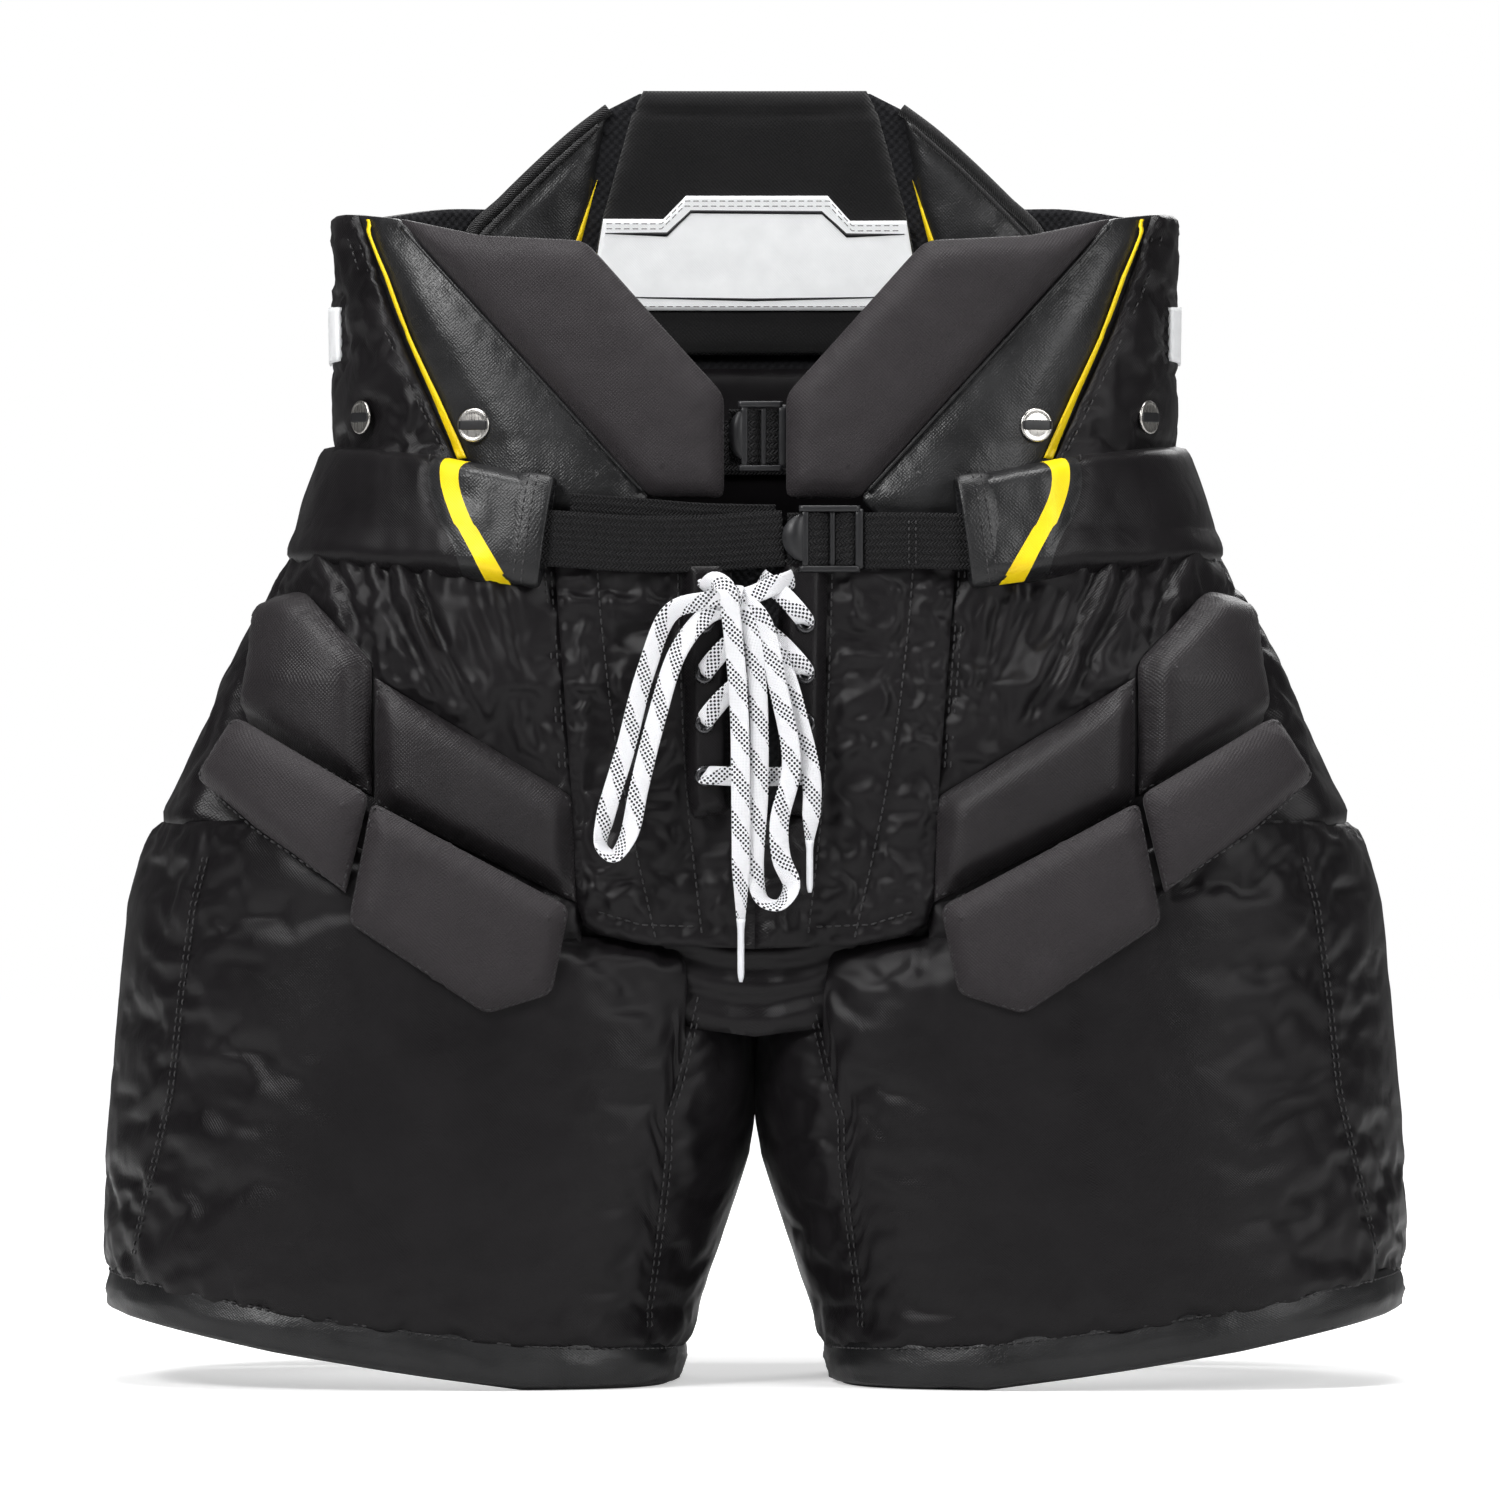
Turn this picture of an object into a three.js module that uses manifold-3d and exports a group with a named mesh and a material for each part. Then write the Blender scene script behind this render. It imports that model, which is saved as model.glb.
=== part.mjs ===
// Goalkeeper hockey pants: a padded waist with a laced fly, two wide legs, hinged
// pad flaps, a spine riser and a strap belt. Millimetres, +Z up, front at -Y,
// the wearer's left at +X. The pants stand on the flat inner part of both hems.
import * as THREE from 'three';
import { mergeVertices } from 'three/addons/utils/BufferGeometryUtils.js';
import Module from 'manifold-3d';

const wasm = await Module();
wasm.setup();

// Driving dimensions
const WALL = 8;            // lined nylon wall of the waist and hips
const LEG_WALL = 6;        // nylon wall of a leg
const SEAM = 0.2;          // each panel stops this far from its seam line
const SKIN = 0.4;          // gap between one layer and the next
const PAD = 18;            // foam pad on the hip
const FLAP_GAP = 4;        // room between a leg and the flap that hangs over it
const FLAP = 13;           // thickness of a hanging flap
const FAR = 320;           // beyond every surface, for cutting outlines
const BACK_SPLIT = 40;     // Y of the seam between side and back panels
const LEG_TOP_CUT = 190;   // inner leg walls start below this height
const SIDES = 36;          // points round a form
const LACE = 3;            // diameter of the lace where it is drawn as a tube

// The waist and hip form, from bottom to top: height, half width, depth to the
// front, depth to the back, and how square the section is.
const TORSO = [
  { z: 190, half: 284, front: 118, back: 130, square: 3.6 },
  { z: 280, half: 278, front: 120, back: 131, square: 3.7 },
  { z: 350, half: 257, front: 122, back: 132, square: 3.9 },
  { z: 390, half: 242, front: 121, back: 128, square: 3.4 },
  { z: 425, half: 224, front: 119, back: 120, square: 2.9 },
  { z: 470, half: 210, front: 116, back: 110, square: 2.6 },
  { z: 590, half: 212, front: 112, back: 104, square: 2.5 },
  { z: 680, half: 212, front: 110, back: 98, square: 2.5 },
];

// One leg form on the +X side: height, inner and outer X, depths.
const LEG = [
  { z: -5, inner: 40, outer: 325, front: 128, back: 126 },
  { z: 40, inner: 34, outer: 325, front: 129, back: 128 },
  { z: 115, inner: 9, outer: 322, front: 133, back: 138 },
  { z: 150, inner: 4, outer: 319, front: 134, back: 144 },
  { z: 240, inner: 4, outer: 311, front: 134, back: 151 },
  { z: 280, inner: 4, outer: 300, front: 134, back: 150 },
  { z: 340, inner: 4, outer: 276, front: 133, back: 147 },
];
const LEG_SQUARE_INNER = 3.6;
const LEG_SQUARE_OUTER = 2.6;

// Outlines seen from the front, as [x, z] on the +X side.
const OUTLINE = {
  frontFlap: [[180, 583], [138, 574], [86, 571], [78, 563], [15.5, 494], [15.5, 443], [52, 443]],
  leather: [[180, 583], [204, 586], [150, 462], [136, 425], [70, 425], [52, 443]],
  side: [[204, 586], [FAR, 592], [FAR, 425], [136, 425], [150, 462]],
  wing: [[98, 451], [156, 463], [FAR, 476], [FAR, 412], [170, 405], [108, 397]],
  cuff: [[98, 451], [128, 457], [128, 400.2], [108, 397]],
  fly: [[11.5, 424], [90, 424], [90, 226], [55, 221], [0, 219], [0, 278], [11.5, 290]],
  flyQuilt: [[11.5, 396], [90, 396], [90, 226], [55, 221], [0, 219], [0, 278], [11.5, 290]],
  eyeletStrip: [[17, 392], [33, 392], [33, 293], [17, 293]],
  hip: [[90, 424.6], [FAR, 424.6], [FAR, 200], [90, 200]],
  hipPad: [[190, 361], [224, 396], [240, 393], [253, 331], [190, 295]],
  thighPad: [[188, 353], [91, 293], [91, 242], [188, 290]],
  sideFlap: [[190.5, 288], [255, 326], [271, 301], [202, 247]],
  thighFlap: [[187.5, 284], [94, 232], [101, 197], [133, 187], [199, 232]],
  spineWing: [[77.6, 646], [146, 583], [152, 560], [122, 545], [90.2, 545], [90.2, 572], [77.6, 640]],
};

const COLOUR = {
  nylon: ['#1d1b1e', 0.55, 0],
  pad: ['#2b282b', 0.8, 0],
  leather: ['#1a1a1c', 0.42, 0],
  knit: ['#141316', 0.95, 0],
  label: ['#eceef0', 0.6, 0],
  webbing: ['#17171a', 0.75, 0],
  plastic: ['#101012', 0.5, 0],
  nickel: ['#a8a5a0', 0.35, 1],
  eyelet: ['#2a2a2c', 0.3, 1],
  lace: ['#eeeef2', 0.85, 0],
  foam: ['#3a3a3e', 0.9, 0],
};

const group = new THREE.Group();

// Solids ---------------------------------------------------------------------

function solidOf(geometry) {
  geometry.deleteAttribute('normal');
  geometry.deleteAttribute('uv');
  const merged = mergeVertices(geometry, 1e-4);
  return new wasm.Manifold(new wasm.Mesh({
    numProp: 3,
    vertProperties: new Float32Array(merged.attributes.position.array),
    triVerts: new Uint32Array(merged.index.array),
  }));
}

function geometryOf(solid) {
  const mesh = solid.getMesh();
  const geometry = new THREE.BufferGeometry();
  geometry.setAttribute('position', new THREE.BufferAttribute(mesh.vertProperties, 3));
  geometry.setIndex(new THREE.BufferAttribute(mesh.triVerts, 1));
  geometry.computeVertexNormals();
  return geometry;
}

function addPiece(name, solid, look) {
  const [color, roughness, metalness] = COLOUR[look];
  const material = new THREE.MeshStandardMaterial({ color, roughness, metalness });
  const mesh = new THREE.Mesh(geometryOf(solid), material);
  mesh.name = name;
  group.add(mesh);
}

// A closed body through rings of points with the same count.
function loft(rings) {
  const count = rings[0].length;
  const position = rings.flat(2);
  const index = [];
  for (let r = 0; r + 1 < rings.length; r++) {
    for (let i = 0; i < count; i++) {
      const a = r * count + i;
      const b = r * count + ((i + 1) % count);
      index.push(a, b, b + count, a, b + count, a + count);
    }
  }
  const top = (rings.length - 1) * count;
  for (let i = 1; i + 1 < count; i++) {
    index.push(0, i + 1, i);
    index.push(top, top + i, top + i + 1);
  }
  const geometry = new THREE.BufferGeometry();
  geometry.setAttribute('position', new THREE.Float32BufferAttribute(position, 3));
  geometry.setIndex(index);
  return solidOf(geometry);
}

// The stations of a form at one height, blended between the two nearest.
function stationAt(table, z) {
  const last = table.length - 1;
  let low = 0;
  while (low < last - 1 && table[low + 1].z < z) low += 1;
  const a = table[low];
  const b = table[low + 1];
  const t = (z - a.z) / (b.z - a.z);
  const mixed = {};
  for (const key of Object.keys(a)) mixed[key] = a[key] + (b[key] - a[key]) * t;
  return mixed;
}

const power = (value, exponent) => Math.sign(value) * Math.abs(value) ** exponent;

function torsoPoint(angle, z, offset) {
  const s = stationAt(TORSO, z);
  const c = Math.cos(angle);
  const d = Math.sin(angle);
  const depth = (d < 0 ? s.front : s.back) + offset;
  return [(s.half + offset) * power(c, 2 / s.square), depth * power(d, 2 / s.square), z];
}

function legPoint(angle, z, offset) {
  const s = stationAt(LEG, z);
  const c = Math.cos(angle);
  const d = Math.sin(angle);
  const square = c < 0 ? LEG_SQUARE_INNER : LEG_SQUARE_OUTER;
  const centre = (s.inner + s.outer) / 2;
  const half = (s.outer - s.inner) / 2 + offset;
  const depth = (d < 0 ? s.front : s.back) + offset;
  return [centre + half * power(c, 2 / square), depth * power(d, 2 / square), z];
}

function form(pointAt, table, offset) {
  const rings = table.map(({ z }) => Array.from({ length: SIDES },
    (_, i) => pointAt((2 * Math.PI * (i + 0.5)) / SIDES, z, offset)));
  return loft(rings);
}

const torso = (offset) => form(torsoPoint, TORSO, offset);
const leg = (offset) => form(legPoint, LEG, offset);
const layer = (solidAt, inner, outer) => solidAt(outer).subtract(solidAt(inner));

const mirrored = (outline) => outline.map(([x, z]) => [-x, z]);
const onSide = (outline, side) => (side > 0 ? outline : mirrored(outline));

// An outline in x and z, made smaller by SEAM and swept along Y.
function prism(outline, yLow = -FAR, yHigh = 0, shrink = SEAM) {
  const shape = new THREE.Shape(inset(outline, shrink));
  const depth = yHigh - yLow;
  const geometry = new THREE.ExtrudeGeometry(shape, { depth, bevelEnabled: false });
  geometry.rotateX(Math.PI / 2);
  geometry.translate(0, yHigh, 0);
  return solidOf(geometry);
}

// Moves every edge of a polygon inwards by the same distance.
function inset(outline, distance) {
  const points = outline.map(([x, z]) => new THREE.Vector2(x, z));
  const turn = THREE.ShapeUtils.area(points) > 0 ? 1 : -1;
  return points.map((point, i) => {
    const before = points[(i + points.length - 1) % points.length];
    const after = points[(i + 1) % points.length];
    const a = point.clone().sub(before).normalize();
    const b = after.clone().sub(point).normalize();
    const normalA = new THREE.Vector2(-a.y, a.x);
    const normalB = new THREE.Vector2(-b.y, b.x);
    const corner = normalA.clone().add(normalB);
    const reach = (turn * distance * 2) / corner.lengthSq();
    return point.clone().addScaledVector(corner, reach);
  });
}

function box(low, high) {
  const size = low.map((value, i) => high[i] - value);
  const centre = low.map((value, i) => (high[i] + value) / 2);
  return solidOf(new THREE.BoxGeometry(...size).translate(...centre));
}

const rectangle = (x0, z0, x1, z1) => [[x0, z0], [x1, z0], [x1, z1], [x0, z1]];

// A round tube through hand-placed points.
function tube(points, diameter, steps) {
  const path = new THREE.CatmullRomCurve3(points.map((p) => new THREE.Vector3(...p)));
  const section = new THREE.Shape();
  for (let i = 0; i < 8; i++) {
    const angle = (i * Math.PI) / 4;
    const x = (diameter / 2) * Math.cos(angle);
    const y = (diameter / 2) * Math.sin(angle);
    if (i === 0) section.moveTo(x, y);
    else section.lineTo(x, y);
  }
  return solidOf(new THREE.ExtrudeGeometry(section, { steps, extrudePath: path, curveSegments: 1 }));
}

const sideName = (side) => (side > 0 ? 'left' : 'right');

// Waist ----------------------------------------------------------------------

function addWaistPanels(side) {
  const wall = layer(torso, -WALL, 0);
  const name = sideName(side);
  const panel = (outline, yHigh = 0) => wall.intersect(prism(onSide(outline, side), -FAR, yHigh));
  addPiece(`waist_leather_${name}`, panel(OUTLINE.leather), 'leather');
  addPiece(`waist_side_${name}`, panel(OUTLINE.side, BACK_SPLIT), 'nylon');
  addPiece(`hip_shell_${name}`, panel(OUTLINE.hip, BACK_SPLIT), 'nylon');
}

function addFly(side) {
  const name = sideName(side);
  const flat = layer(torso, -6, 3.4).intersect(prism(onSide(OUTLINE.fly, side)));
  const quilt = layer(torso, -5, 10).intersect(prism(onSide(OUTLINE.flyQuilt, side)));
  addPiece(`fly_${name}`, flat.add(quilt), 'nylon');
  addPiece(`eyelet_row_${name}`, eyeletRow(side), 'eyelet');
}

const EYELET = { x: 25, rows: [380, 355, 331, 305], outer: 5.2, inner: 2.6 };

// A stay strip and its rings.
function eyeletRow(side) {
  let row = layer(torso, 10 + SKIN, 11.4).intersect(prism(onSide(OUTLINE.eyeletStrip, side)));
  const profile = [[EYELET.inner, 0], [EYELET.outer, 0], [EYELET.outer, 2], [EYELET.inner, 2.6],
    [EYELET.inner, 0]].map(([r, y]) => new THREE.Vector2(r, y));
  for (const z of EYELET.rows) {
    const face = -torsoDepth(z) - 10.6;
    const ring = new THREE.LatheGeometry(profile, 12).rotateX(Math.PI);
    row = row.add(solidOf(ring.translate(side * EYELET.x, face, z)));
  }
  return row;
}

const torsoDepth = (z) => stationAt(TORSO, z).front;

function addBack() {
  const wall = layer(torso, -WALL, 0);
  const waist = prism(rectangle(-FAR, 425, FAR, 598), BACK_SPLIT + 2 * SEAM, FAR);
  const seat = prism(rectangle(-FAR, 200, FAR, 424.6), BACK_SPLIT + 2 * SEAM, FAR);
  addPiece('waist_back', wall.intersect(waist), 'nylon');
  addPiece('seat_panel', wall.intersect(seat), 'nylon');
}

// The tongue behind the fly and the saddle between the legs.
function addInnerFly() {
  const tongue = layer(torso, -WALL - 5, -WALL - 1.5);
  addPiece('fly_tongue', tongue.intersect(prism(rectangle(-48, 236, 48, 430))), 'nylon');
  const edge = [[-106, 214], [-60, 201], [0, 197], [60, 201], [112, 214]];
  const upper = new THREE.SplineCurve(edge.map(([y, z]) => new THREE.Vector2(y, z))).getPoints(14);
  const lower = upper.map((p) => new THREE.Vector2(p.x, p.y - 6)).reverse();
  const saddle = new THREE.ExtrudeGeometry(new THREE.Shape([...upper, ...lower]),
    { depth: 100, bevelEnabled: false });
  saddle.rotateX(Math.PI / 2).rotateZ(Math.PI / 2).translate(-50, 0, 0);
  addPiece('crotch_gusset', solidOf(saddle), 'nylon');
}

function addHipPads(side) {
  const pad = layer(torso, SKIN, PAD);
  const name = sideName(side);
  addPiece(`hip_pad_${name}`, pad.intersect(prism(onSide(OUTLINE.hipPad, side))), 'pad');
  addPiece(`thigh_pad_${name}`, pad.intersect(prism(onSide(OUTLINE.thighPad, side))), 'pad');
}

// Belt -----------------------------------------------------------------------

const STRAP = { low: 407, high: 435, front: -129.4, back: -127.2 };
const TAIL = { low: 413, high: 441, front: -125.6, back: -124, left: -92, right: 10 };
const CUFF_MOUTH = { reach: 109, back: -123, front: -130.4, low: 406, high: 443 };

// A padded wing of the outer belt, ending in a hollow cuff that takes the strap.
function addBeltWing(side) {
  const wing = layer(torso, SKIN, 10).intersect(prism(onSide(OUTLINE.wing, side), -FAR, 60));
  const cuff = layer(torso, SKIN, 19).intersect(prism(onSide(OUTLINE.cuff, side)));
  const x = [side * 80, side * CUFF_MOUTH.reach].sort((a, b) => a - b);
  const mouth = box([x[0], CUFF_MOUTH.front, CUFF_MOUTH.low], [x[1], CUFF_MOUTH.back, CUFF_MOUTH.high]);
  addPiece(`belt_wing_${sideName(side)}`, wing.add(cuff).subtract(mouth), 'leather');
}

function addStrap() {
  const { low, high, front, back } = STRAP;
  addPiece('belt_strap', box([-108, front, low], [13, back, high]), 'webbing');
  addPiece('strap_anchor', box([54, front, low], [108, back, high]), 'webbing');
  const tail = box([TAIL.left, TAIL.front, TAIL.low], [TAIL.right, TAIL.back, TAIL.high]);
  addPiece('strap_tail', tail, 'webbing');
}

// A ladder-lock frame: thumb tab, two windows and three bars.
function ladderLock(left, right, low, high, front, back) {
  const tab = (right - left) * 0.22;
  const bar = (right - left) * 0.1;
  const window = (right - left - tab - 3 * bar) / 2;
  const shape = new THREE.Shape();
  const rounding = tab * 0.9;
  shape.moveTo(left + rounding, low);
  shape.lineTo(right, low);
  shape.lineTo(right, high);
  shape.lineTo(left + rounding, high);
  shape.quadraticCurveTo(left, high, left, high - rounding);
  shape.lineTo(left, low + rounding);
  shape.quadraticCurveTo(left, low, left + rounding, low);
  const geometry = new THREE.ExtrudeGeometry(shape,
    { depth: back - front, bevelEnabled: false, curveSegments: 5 });
  let frame = solidOf(geometry.rotateX(Math.PI / 2).translate(0, back, 0));
  for (const start of [left + tab + bar, left + tab + 2 * bar + window]) {
    frame = frame.subtract(box([start, front - 1, low + 2.6], [start + window, back + 1, high - 2.6]));
  }
  return frame;
}

function addBuckles() {
  addPiece('buckle', ladderLock(14, 53.4, 404.5, 437.5, -130.4, -126), 'plastic');
  addPiece('inner_buckle', ladderLock(-14, 15, 456, 491, -104.5, -100.5), 'plastic');
}

function addInnerBelt() {
  const band = layer(torso, -WALL - 6.5, -WALL - 4);
  const height = prism(rectangle(-FAR, 459, FAR, 488), -FAR, FAR);
  const gap = box([-17, -FAR, 400], [17, 0, 520]);
  addPiece('inner_belt', band.intersect(height).subtract(gap), 'webbing');
}

// Suspender buttons ----------------------------------------------------------

const BUTTON = { radius: 8.5, height: 3.2, places: [['inner', 139, 479], ['outer', 195, 484]] };

// Finds the outer surface at x and z, then stands a disc on it along its normal.
function addButton(name, side, x, z) {
  let angle = 1.5 * Math.PI;
  while (torsoPoint(angle, z, 0)[0] < x) angle += 0.002;
  const at = new THREE.Vector3(...torsoPoint(angle, z, 0));
  const along = new THREE.Vector3(...torsoPoint(angle + 0.01, z, 0)).sub(at);
  const up = new THREE.Vector3(...torsoPoint(angle, z + 2, 0)).sub(at);
  const normal = along.cross(up).normalize();
  const disc = new THREE.CylinderGeometry(BUTTON.radius, BUTTON.radius, BUTTON.height, 20);
  disc.applyQuaternion(new THREE.Quaternion().setFromUnitVectors(new THREE.Vector3(0, 1, 0), normal));
  const centre = at.addScaledVector(normal, 0.8 + BUTTON.height / 2);
  disc.translate(centre.x, centre.y, centre.z);
  if (side < 0) disc.rotateX(0).scale(-1, 1, 1).index.array.reverse();
  addPiece(name, solidOf(disc), 'nickel');
}

// Lace -----------------------------------------------------------------------

const CROSSING_Y = -137;
const KNOT = [-13, -142.4, 391];
const LOOP_Y = -144.2;
const TAIL_Y = -140.1;

// Each crossing runs from an eyelet up towards the gap and dips behind the edge.
function crossing(side, z) {
  const points = [[side * 26, CROSSING_Y, z + 1], [side * 15, CROSSING_Y, z + 12],
    [side * 8, CROSSING_Y + 4, z + 16], [side * 4, -124, z + 18]];
  return tube(points, LACE, 8);
}

function addLace() {
  addPiece('lace_cross_right_2', crossing(-1, EYELET.rows[1]), 'lace');
  addPiece('lace_cross_right_3', crossing(-1, EYELET.rows[2]), 'lace');
  addPiece('lace_cross_left_1', crossing(1, EYELET.rows[0]), 'lace');
  addPiece('lace_cross_left_2', crossing(1, EYELET.rows[1]), 'lace');
  const bar = [-26, -9, 9, 26].map((x) => [x, CROSSING_Y, EYELET.rows[3]]);
  addPiece('lace_bar', tube(bar, LACE, 6), 'lace');

  const knot = solidOf(new THREE.SphereGeometry(1, 12, 8).scale(8.5, 5, 9).translate(...KNOT));
  const rise = tube([[-8, KNOT[1], 395], [4, -140, 401], [14, -138, 403], [23, -134, 403]], LACE, 8);
  addPiece('lace_knot', knot.add(rise), 'lace');

  const loopRight = [[-23, LOOP_Y, 391], [-41, LOOP_Y, 386], [-54, LOOP_Y, 356], [-64, LOOP_Y, 318],
    [-74, LOOP_Y, 284], [-76, LOOP_Y, 270], [-70, LOOP_Y, 265], [-63, LOOP_Y, 274],
    [-57, LOOP_Y, 300], [-49, LOOP_Y, 332], [-38, LOOP_Y, 366], [-23, LOOP_Y, 384.5]];
  addPiece('lace_loop_right', tube(loopRight, LACE, 30), 'lace');
  const loopLeft = [[-3.4, LOOP_Y, 383], [1, LOOP_Y, 352], [2, LOOP_Y, 300], [0, LOOP_Y, 256],
    [4, LOOP_Y, 243], [12, LOOP_Y, 241], [18, LOOP_Y, 250], [13, LOOP_Y, 264],
    [12, LOOP_Y, 282], [18, LOOP_Y, 310], [11, LOOP_Y, 350], [1.6, LOOP_Y, 386]];
  addPiece('lace_loop_left', tube(loopLeft, LACE, 32), 'lace');
  const tailRight = [[-12, LOOP_Y - 4.4, 381], [-8, LOOP_Y - 4, 340], [-7, LOOP_Y - 4, 290],
    [-7, LOOP_Y - 4, 232]];
  addPiece('lace_tail_right', tube(tailRight, LACE, 12), 'lace');
  addPiece('aglet_right', box([-8.6, LOOP_Y - 5.2, 203], [-5.4, LOOP_Y - 2.8, 231.6]), 'label');
  const tailLeft = [[-1, TAIL_Y, 377], [11, TAIL_Y, 364], [22, TAIL_Y, 331], [28, TAIL_Y, 302],
    [27, TAIL_Y, 272]];
  addPiece('lace_tail_left', tube(tailLeft, LACE, 12), 'lace');
  addPiece('aglet_left', box([25.6, TAIL_Y - 1.2, 247], [28.4, TAIL_Y + 1.2, 271.6]), 'label');
}

// Spine guard ----------------------------------------------------------------

function addSpineGuard() {
  const core = layer(torso, -WALL - 11, -WALL - 3);
  const half = [[90, 521], [90, 572], [77.4, 640], [60, 658]];
  const pad = [...half.map(([x, z]) => [-x, z]), ...half.reverse()];
  addPiece('spine_pad', core.intersect(prism(pad, 0, FAR)), 'knit');
  for (const side of [-1, 1]) {
    const wing = core.intersect(prism(onSide(OUTLINE.spineWing, side), 0, FAR));
    addPiece(`spine_wing_${sideName(side)}`, wing, 'leather');
  }
  const label = [[-88, 544], [-80, 591], [-48, 591], [-36, 603], [36, 603], [48, 591], [80, 591],
    [88, 544]];
  const facing = layer(torso, -WALL - 13, -WALL - 11 - SKIN);
  addPiece('back_label', facing.intersect(prism(label, 0, FAR)), 'label');
}

// Flaps ----------------------------------------------------------------------

function addFlaps(side) {
  const name = sideName(side);
  const belly = layer(torso, -WALL - 1, 5).intersect(prism(onSide(OUTLINE.frontFlap, side)));
  addPiece(`front_flap_${name}`, belly, 'pad');
  const thigh = layer(leg, FLAP_GAP, FLAP_GAP + FLAP).intersect(prism(OUTLINE.thighFlap));
  const hip = layer(leg, FLAP_GAP + 2, FLAP_GAP + FLAP).intersect(prism(OUTLINE.sideFlap));
  addPiece(`thigh_flap_${name}`, flipped(thigh, side), 'pad');
  addPiece(`side_flap_${name}`, flipped(hip, side), 'pad');
}

const flipped = (solid, side) => (side > 0 ? solid : solid.scale([-1, 1, 1]));

// Legs -----------------------------------------------------------------------

const HEM_TOP = [[FAR + 60, 60], [325, 58], [240, 42], [171, 31], [110, 24], [0, 20]];
const HEM_BOTTOM = [[0, -SEAM], [112, -SEAM], [171, 8], [240, 19], [325, 36], [FAR + 60, 44]];
const LEG_TOP = [[0, 212], [96, 212], [133, 222], [187, 256], [201, 260], [230, 272], [250, 282],
  [270, 283], [FAR + 60, 279]];
const THIGH_GUARD = [[82, 44], [252, 56], [262, 176], [82, 176]];

function addLeg(side) {
  const name = sideName(side);
  const outline = [...LEG_TOP, ...HEM_TOP];
  const upper = prism(outline, -FAR, FAR);
  const wall = layer(leg, -LEG_WALL, 0).intersect(upper).subtract(torsoRoom());
  const hemBand = layer(leg, -LEG_WALL - 1.5, 1.5).intersect(prism([...HEM_BOTTOM, ...HEM_TOP], -FAR, FAR));
  const guard = layer(leg, -LEG_WALL - 9, -LEG_WALL - 1).intersect(prism(THIGH_GUARD));
  addPiece(`leg_shell_${name}`, flipped(wall, side), 'nylon');
  addPiece(`hem_${name}`, flipped(hemBand, side), 'leather');
  addPiece(`thigh_guard_${name}`, flipped(guard, side), 'foam');
}

// The space the hips need inside the leg tops.
function torsoRoom() {
  const above = prism(rectangle(-FAR, LEG_TOP_CUT, FAR, 400), -FAR, FAR, 0);
  return torso(3).intersect(above);
}

addBack();
addInnerFly();
addInnerBelt();
addStrap();
addBuckles();
addLace();
addSpineGuard();
for (const side of [-1, 1]) {
  addWaistPanels(side);
  addFly(side);
  addHipPads(side);
  addBeltWing(side);
  addFlaps(side);
  addLeg(side);
  for (const [place, x, z] of BUTTON.places) {
    addButton(`button_${place}_${sideName(side)}`, side, x, z);
  }
}

export default group;
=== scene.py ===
"""Goalkeeper hockey pants: padded waist, laced fly, strap belt, pad flaps, two wide legs.

Lengths inside this script are millimetres in the frame's own axes; MM turns them into
metres when a mesh is made. "left" is the wearer's left, at +X.
"""
import math
import bmesh
import bpy
import numpy as np
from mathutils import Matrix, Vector, geometry


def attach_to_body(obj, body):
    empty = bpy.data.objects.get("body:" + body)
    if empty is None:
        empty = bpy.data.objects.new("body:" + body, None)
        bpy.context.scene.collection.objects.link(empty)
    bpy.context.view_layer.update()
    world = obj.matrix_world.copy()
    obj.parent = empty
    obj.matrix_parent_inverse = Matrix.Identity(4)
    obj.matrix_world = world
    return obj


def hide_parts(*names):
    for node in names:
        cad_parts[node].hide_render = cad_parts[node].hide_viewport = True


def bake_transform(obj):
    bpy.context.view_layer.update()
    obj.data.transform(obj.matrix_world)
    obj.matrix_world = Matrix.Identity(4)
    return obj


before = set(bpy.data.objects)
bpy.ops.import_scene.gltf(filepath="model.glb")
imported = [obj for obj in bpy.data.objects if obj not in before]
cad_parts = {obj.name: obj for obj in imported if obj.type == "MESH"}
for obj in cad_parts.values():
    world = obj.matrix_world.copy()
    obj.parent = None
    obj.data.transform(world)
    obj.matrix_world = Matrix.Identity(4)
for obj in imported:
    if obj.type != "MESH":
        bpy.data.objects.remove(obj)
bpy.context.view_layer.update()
MM = 0.001
SIDES = {"left": 1, "right": -1}

# ---------------------------------------------------------------- camera

CAMERA_X = -2.5
CAMERA_HEIGHT = 317.5
CAMERA_DISTANCE = 6000.0
PICTURE_PLANE_Y = -70.0
PICTURE_WIDTH = 750.0
SENSOR = 36

camera_data = bpy.data.cameras.new("camera")
camera_data.sensor_width = SENSOR
camera_data.lens = SENSOR * (CAMERA_DISTANCE + PICTURE_PLANE_Y) / PICTURE_WIDTH
camera_data.clip_end = 60
camera = bpy.data.objects.new("camera", camera_data)
camera.location = (CAMERA_X * MM, -CAMERA_DISTANCE * MM, CAMERA_HEIGHT * MM)
camera.rotation_euler = (math.radians(90), 0, 0)
bpy.context.scene.collection.objects.link(camera)
bpy.context.scene.camera = camera

# ---------------------------------------------------------------- forms

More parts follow.
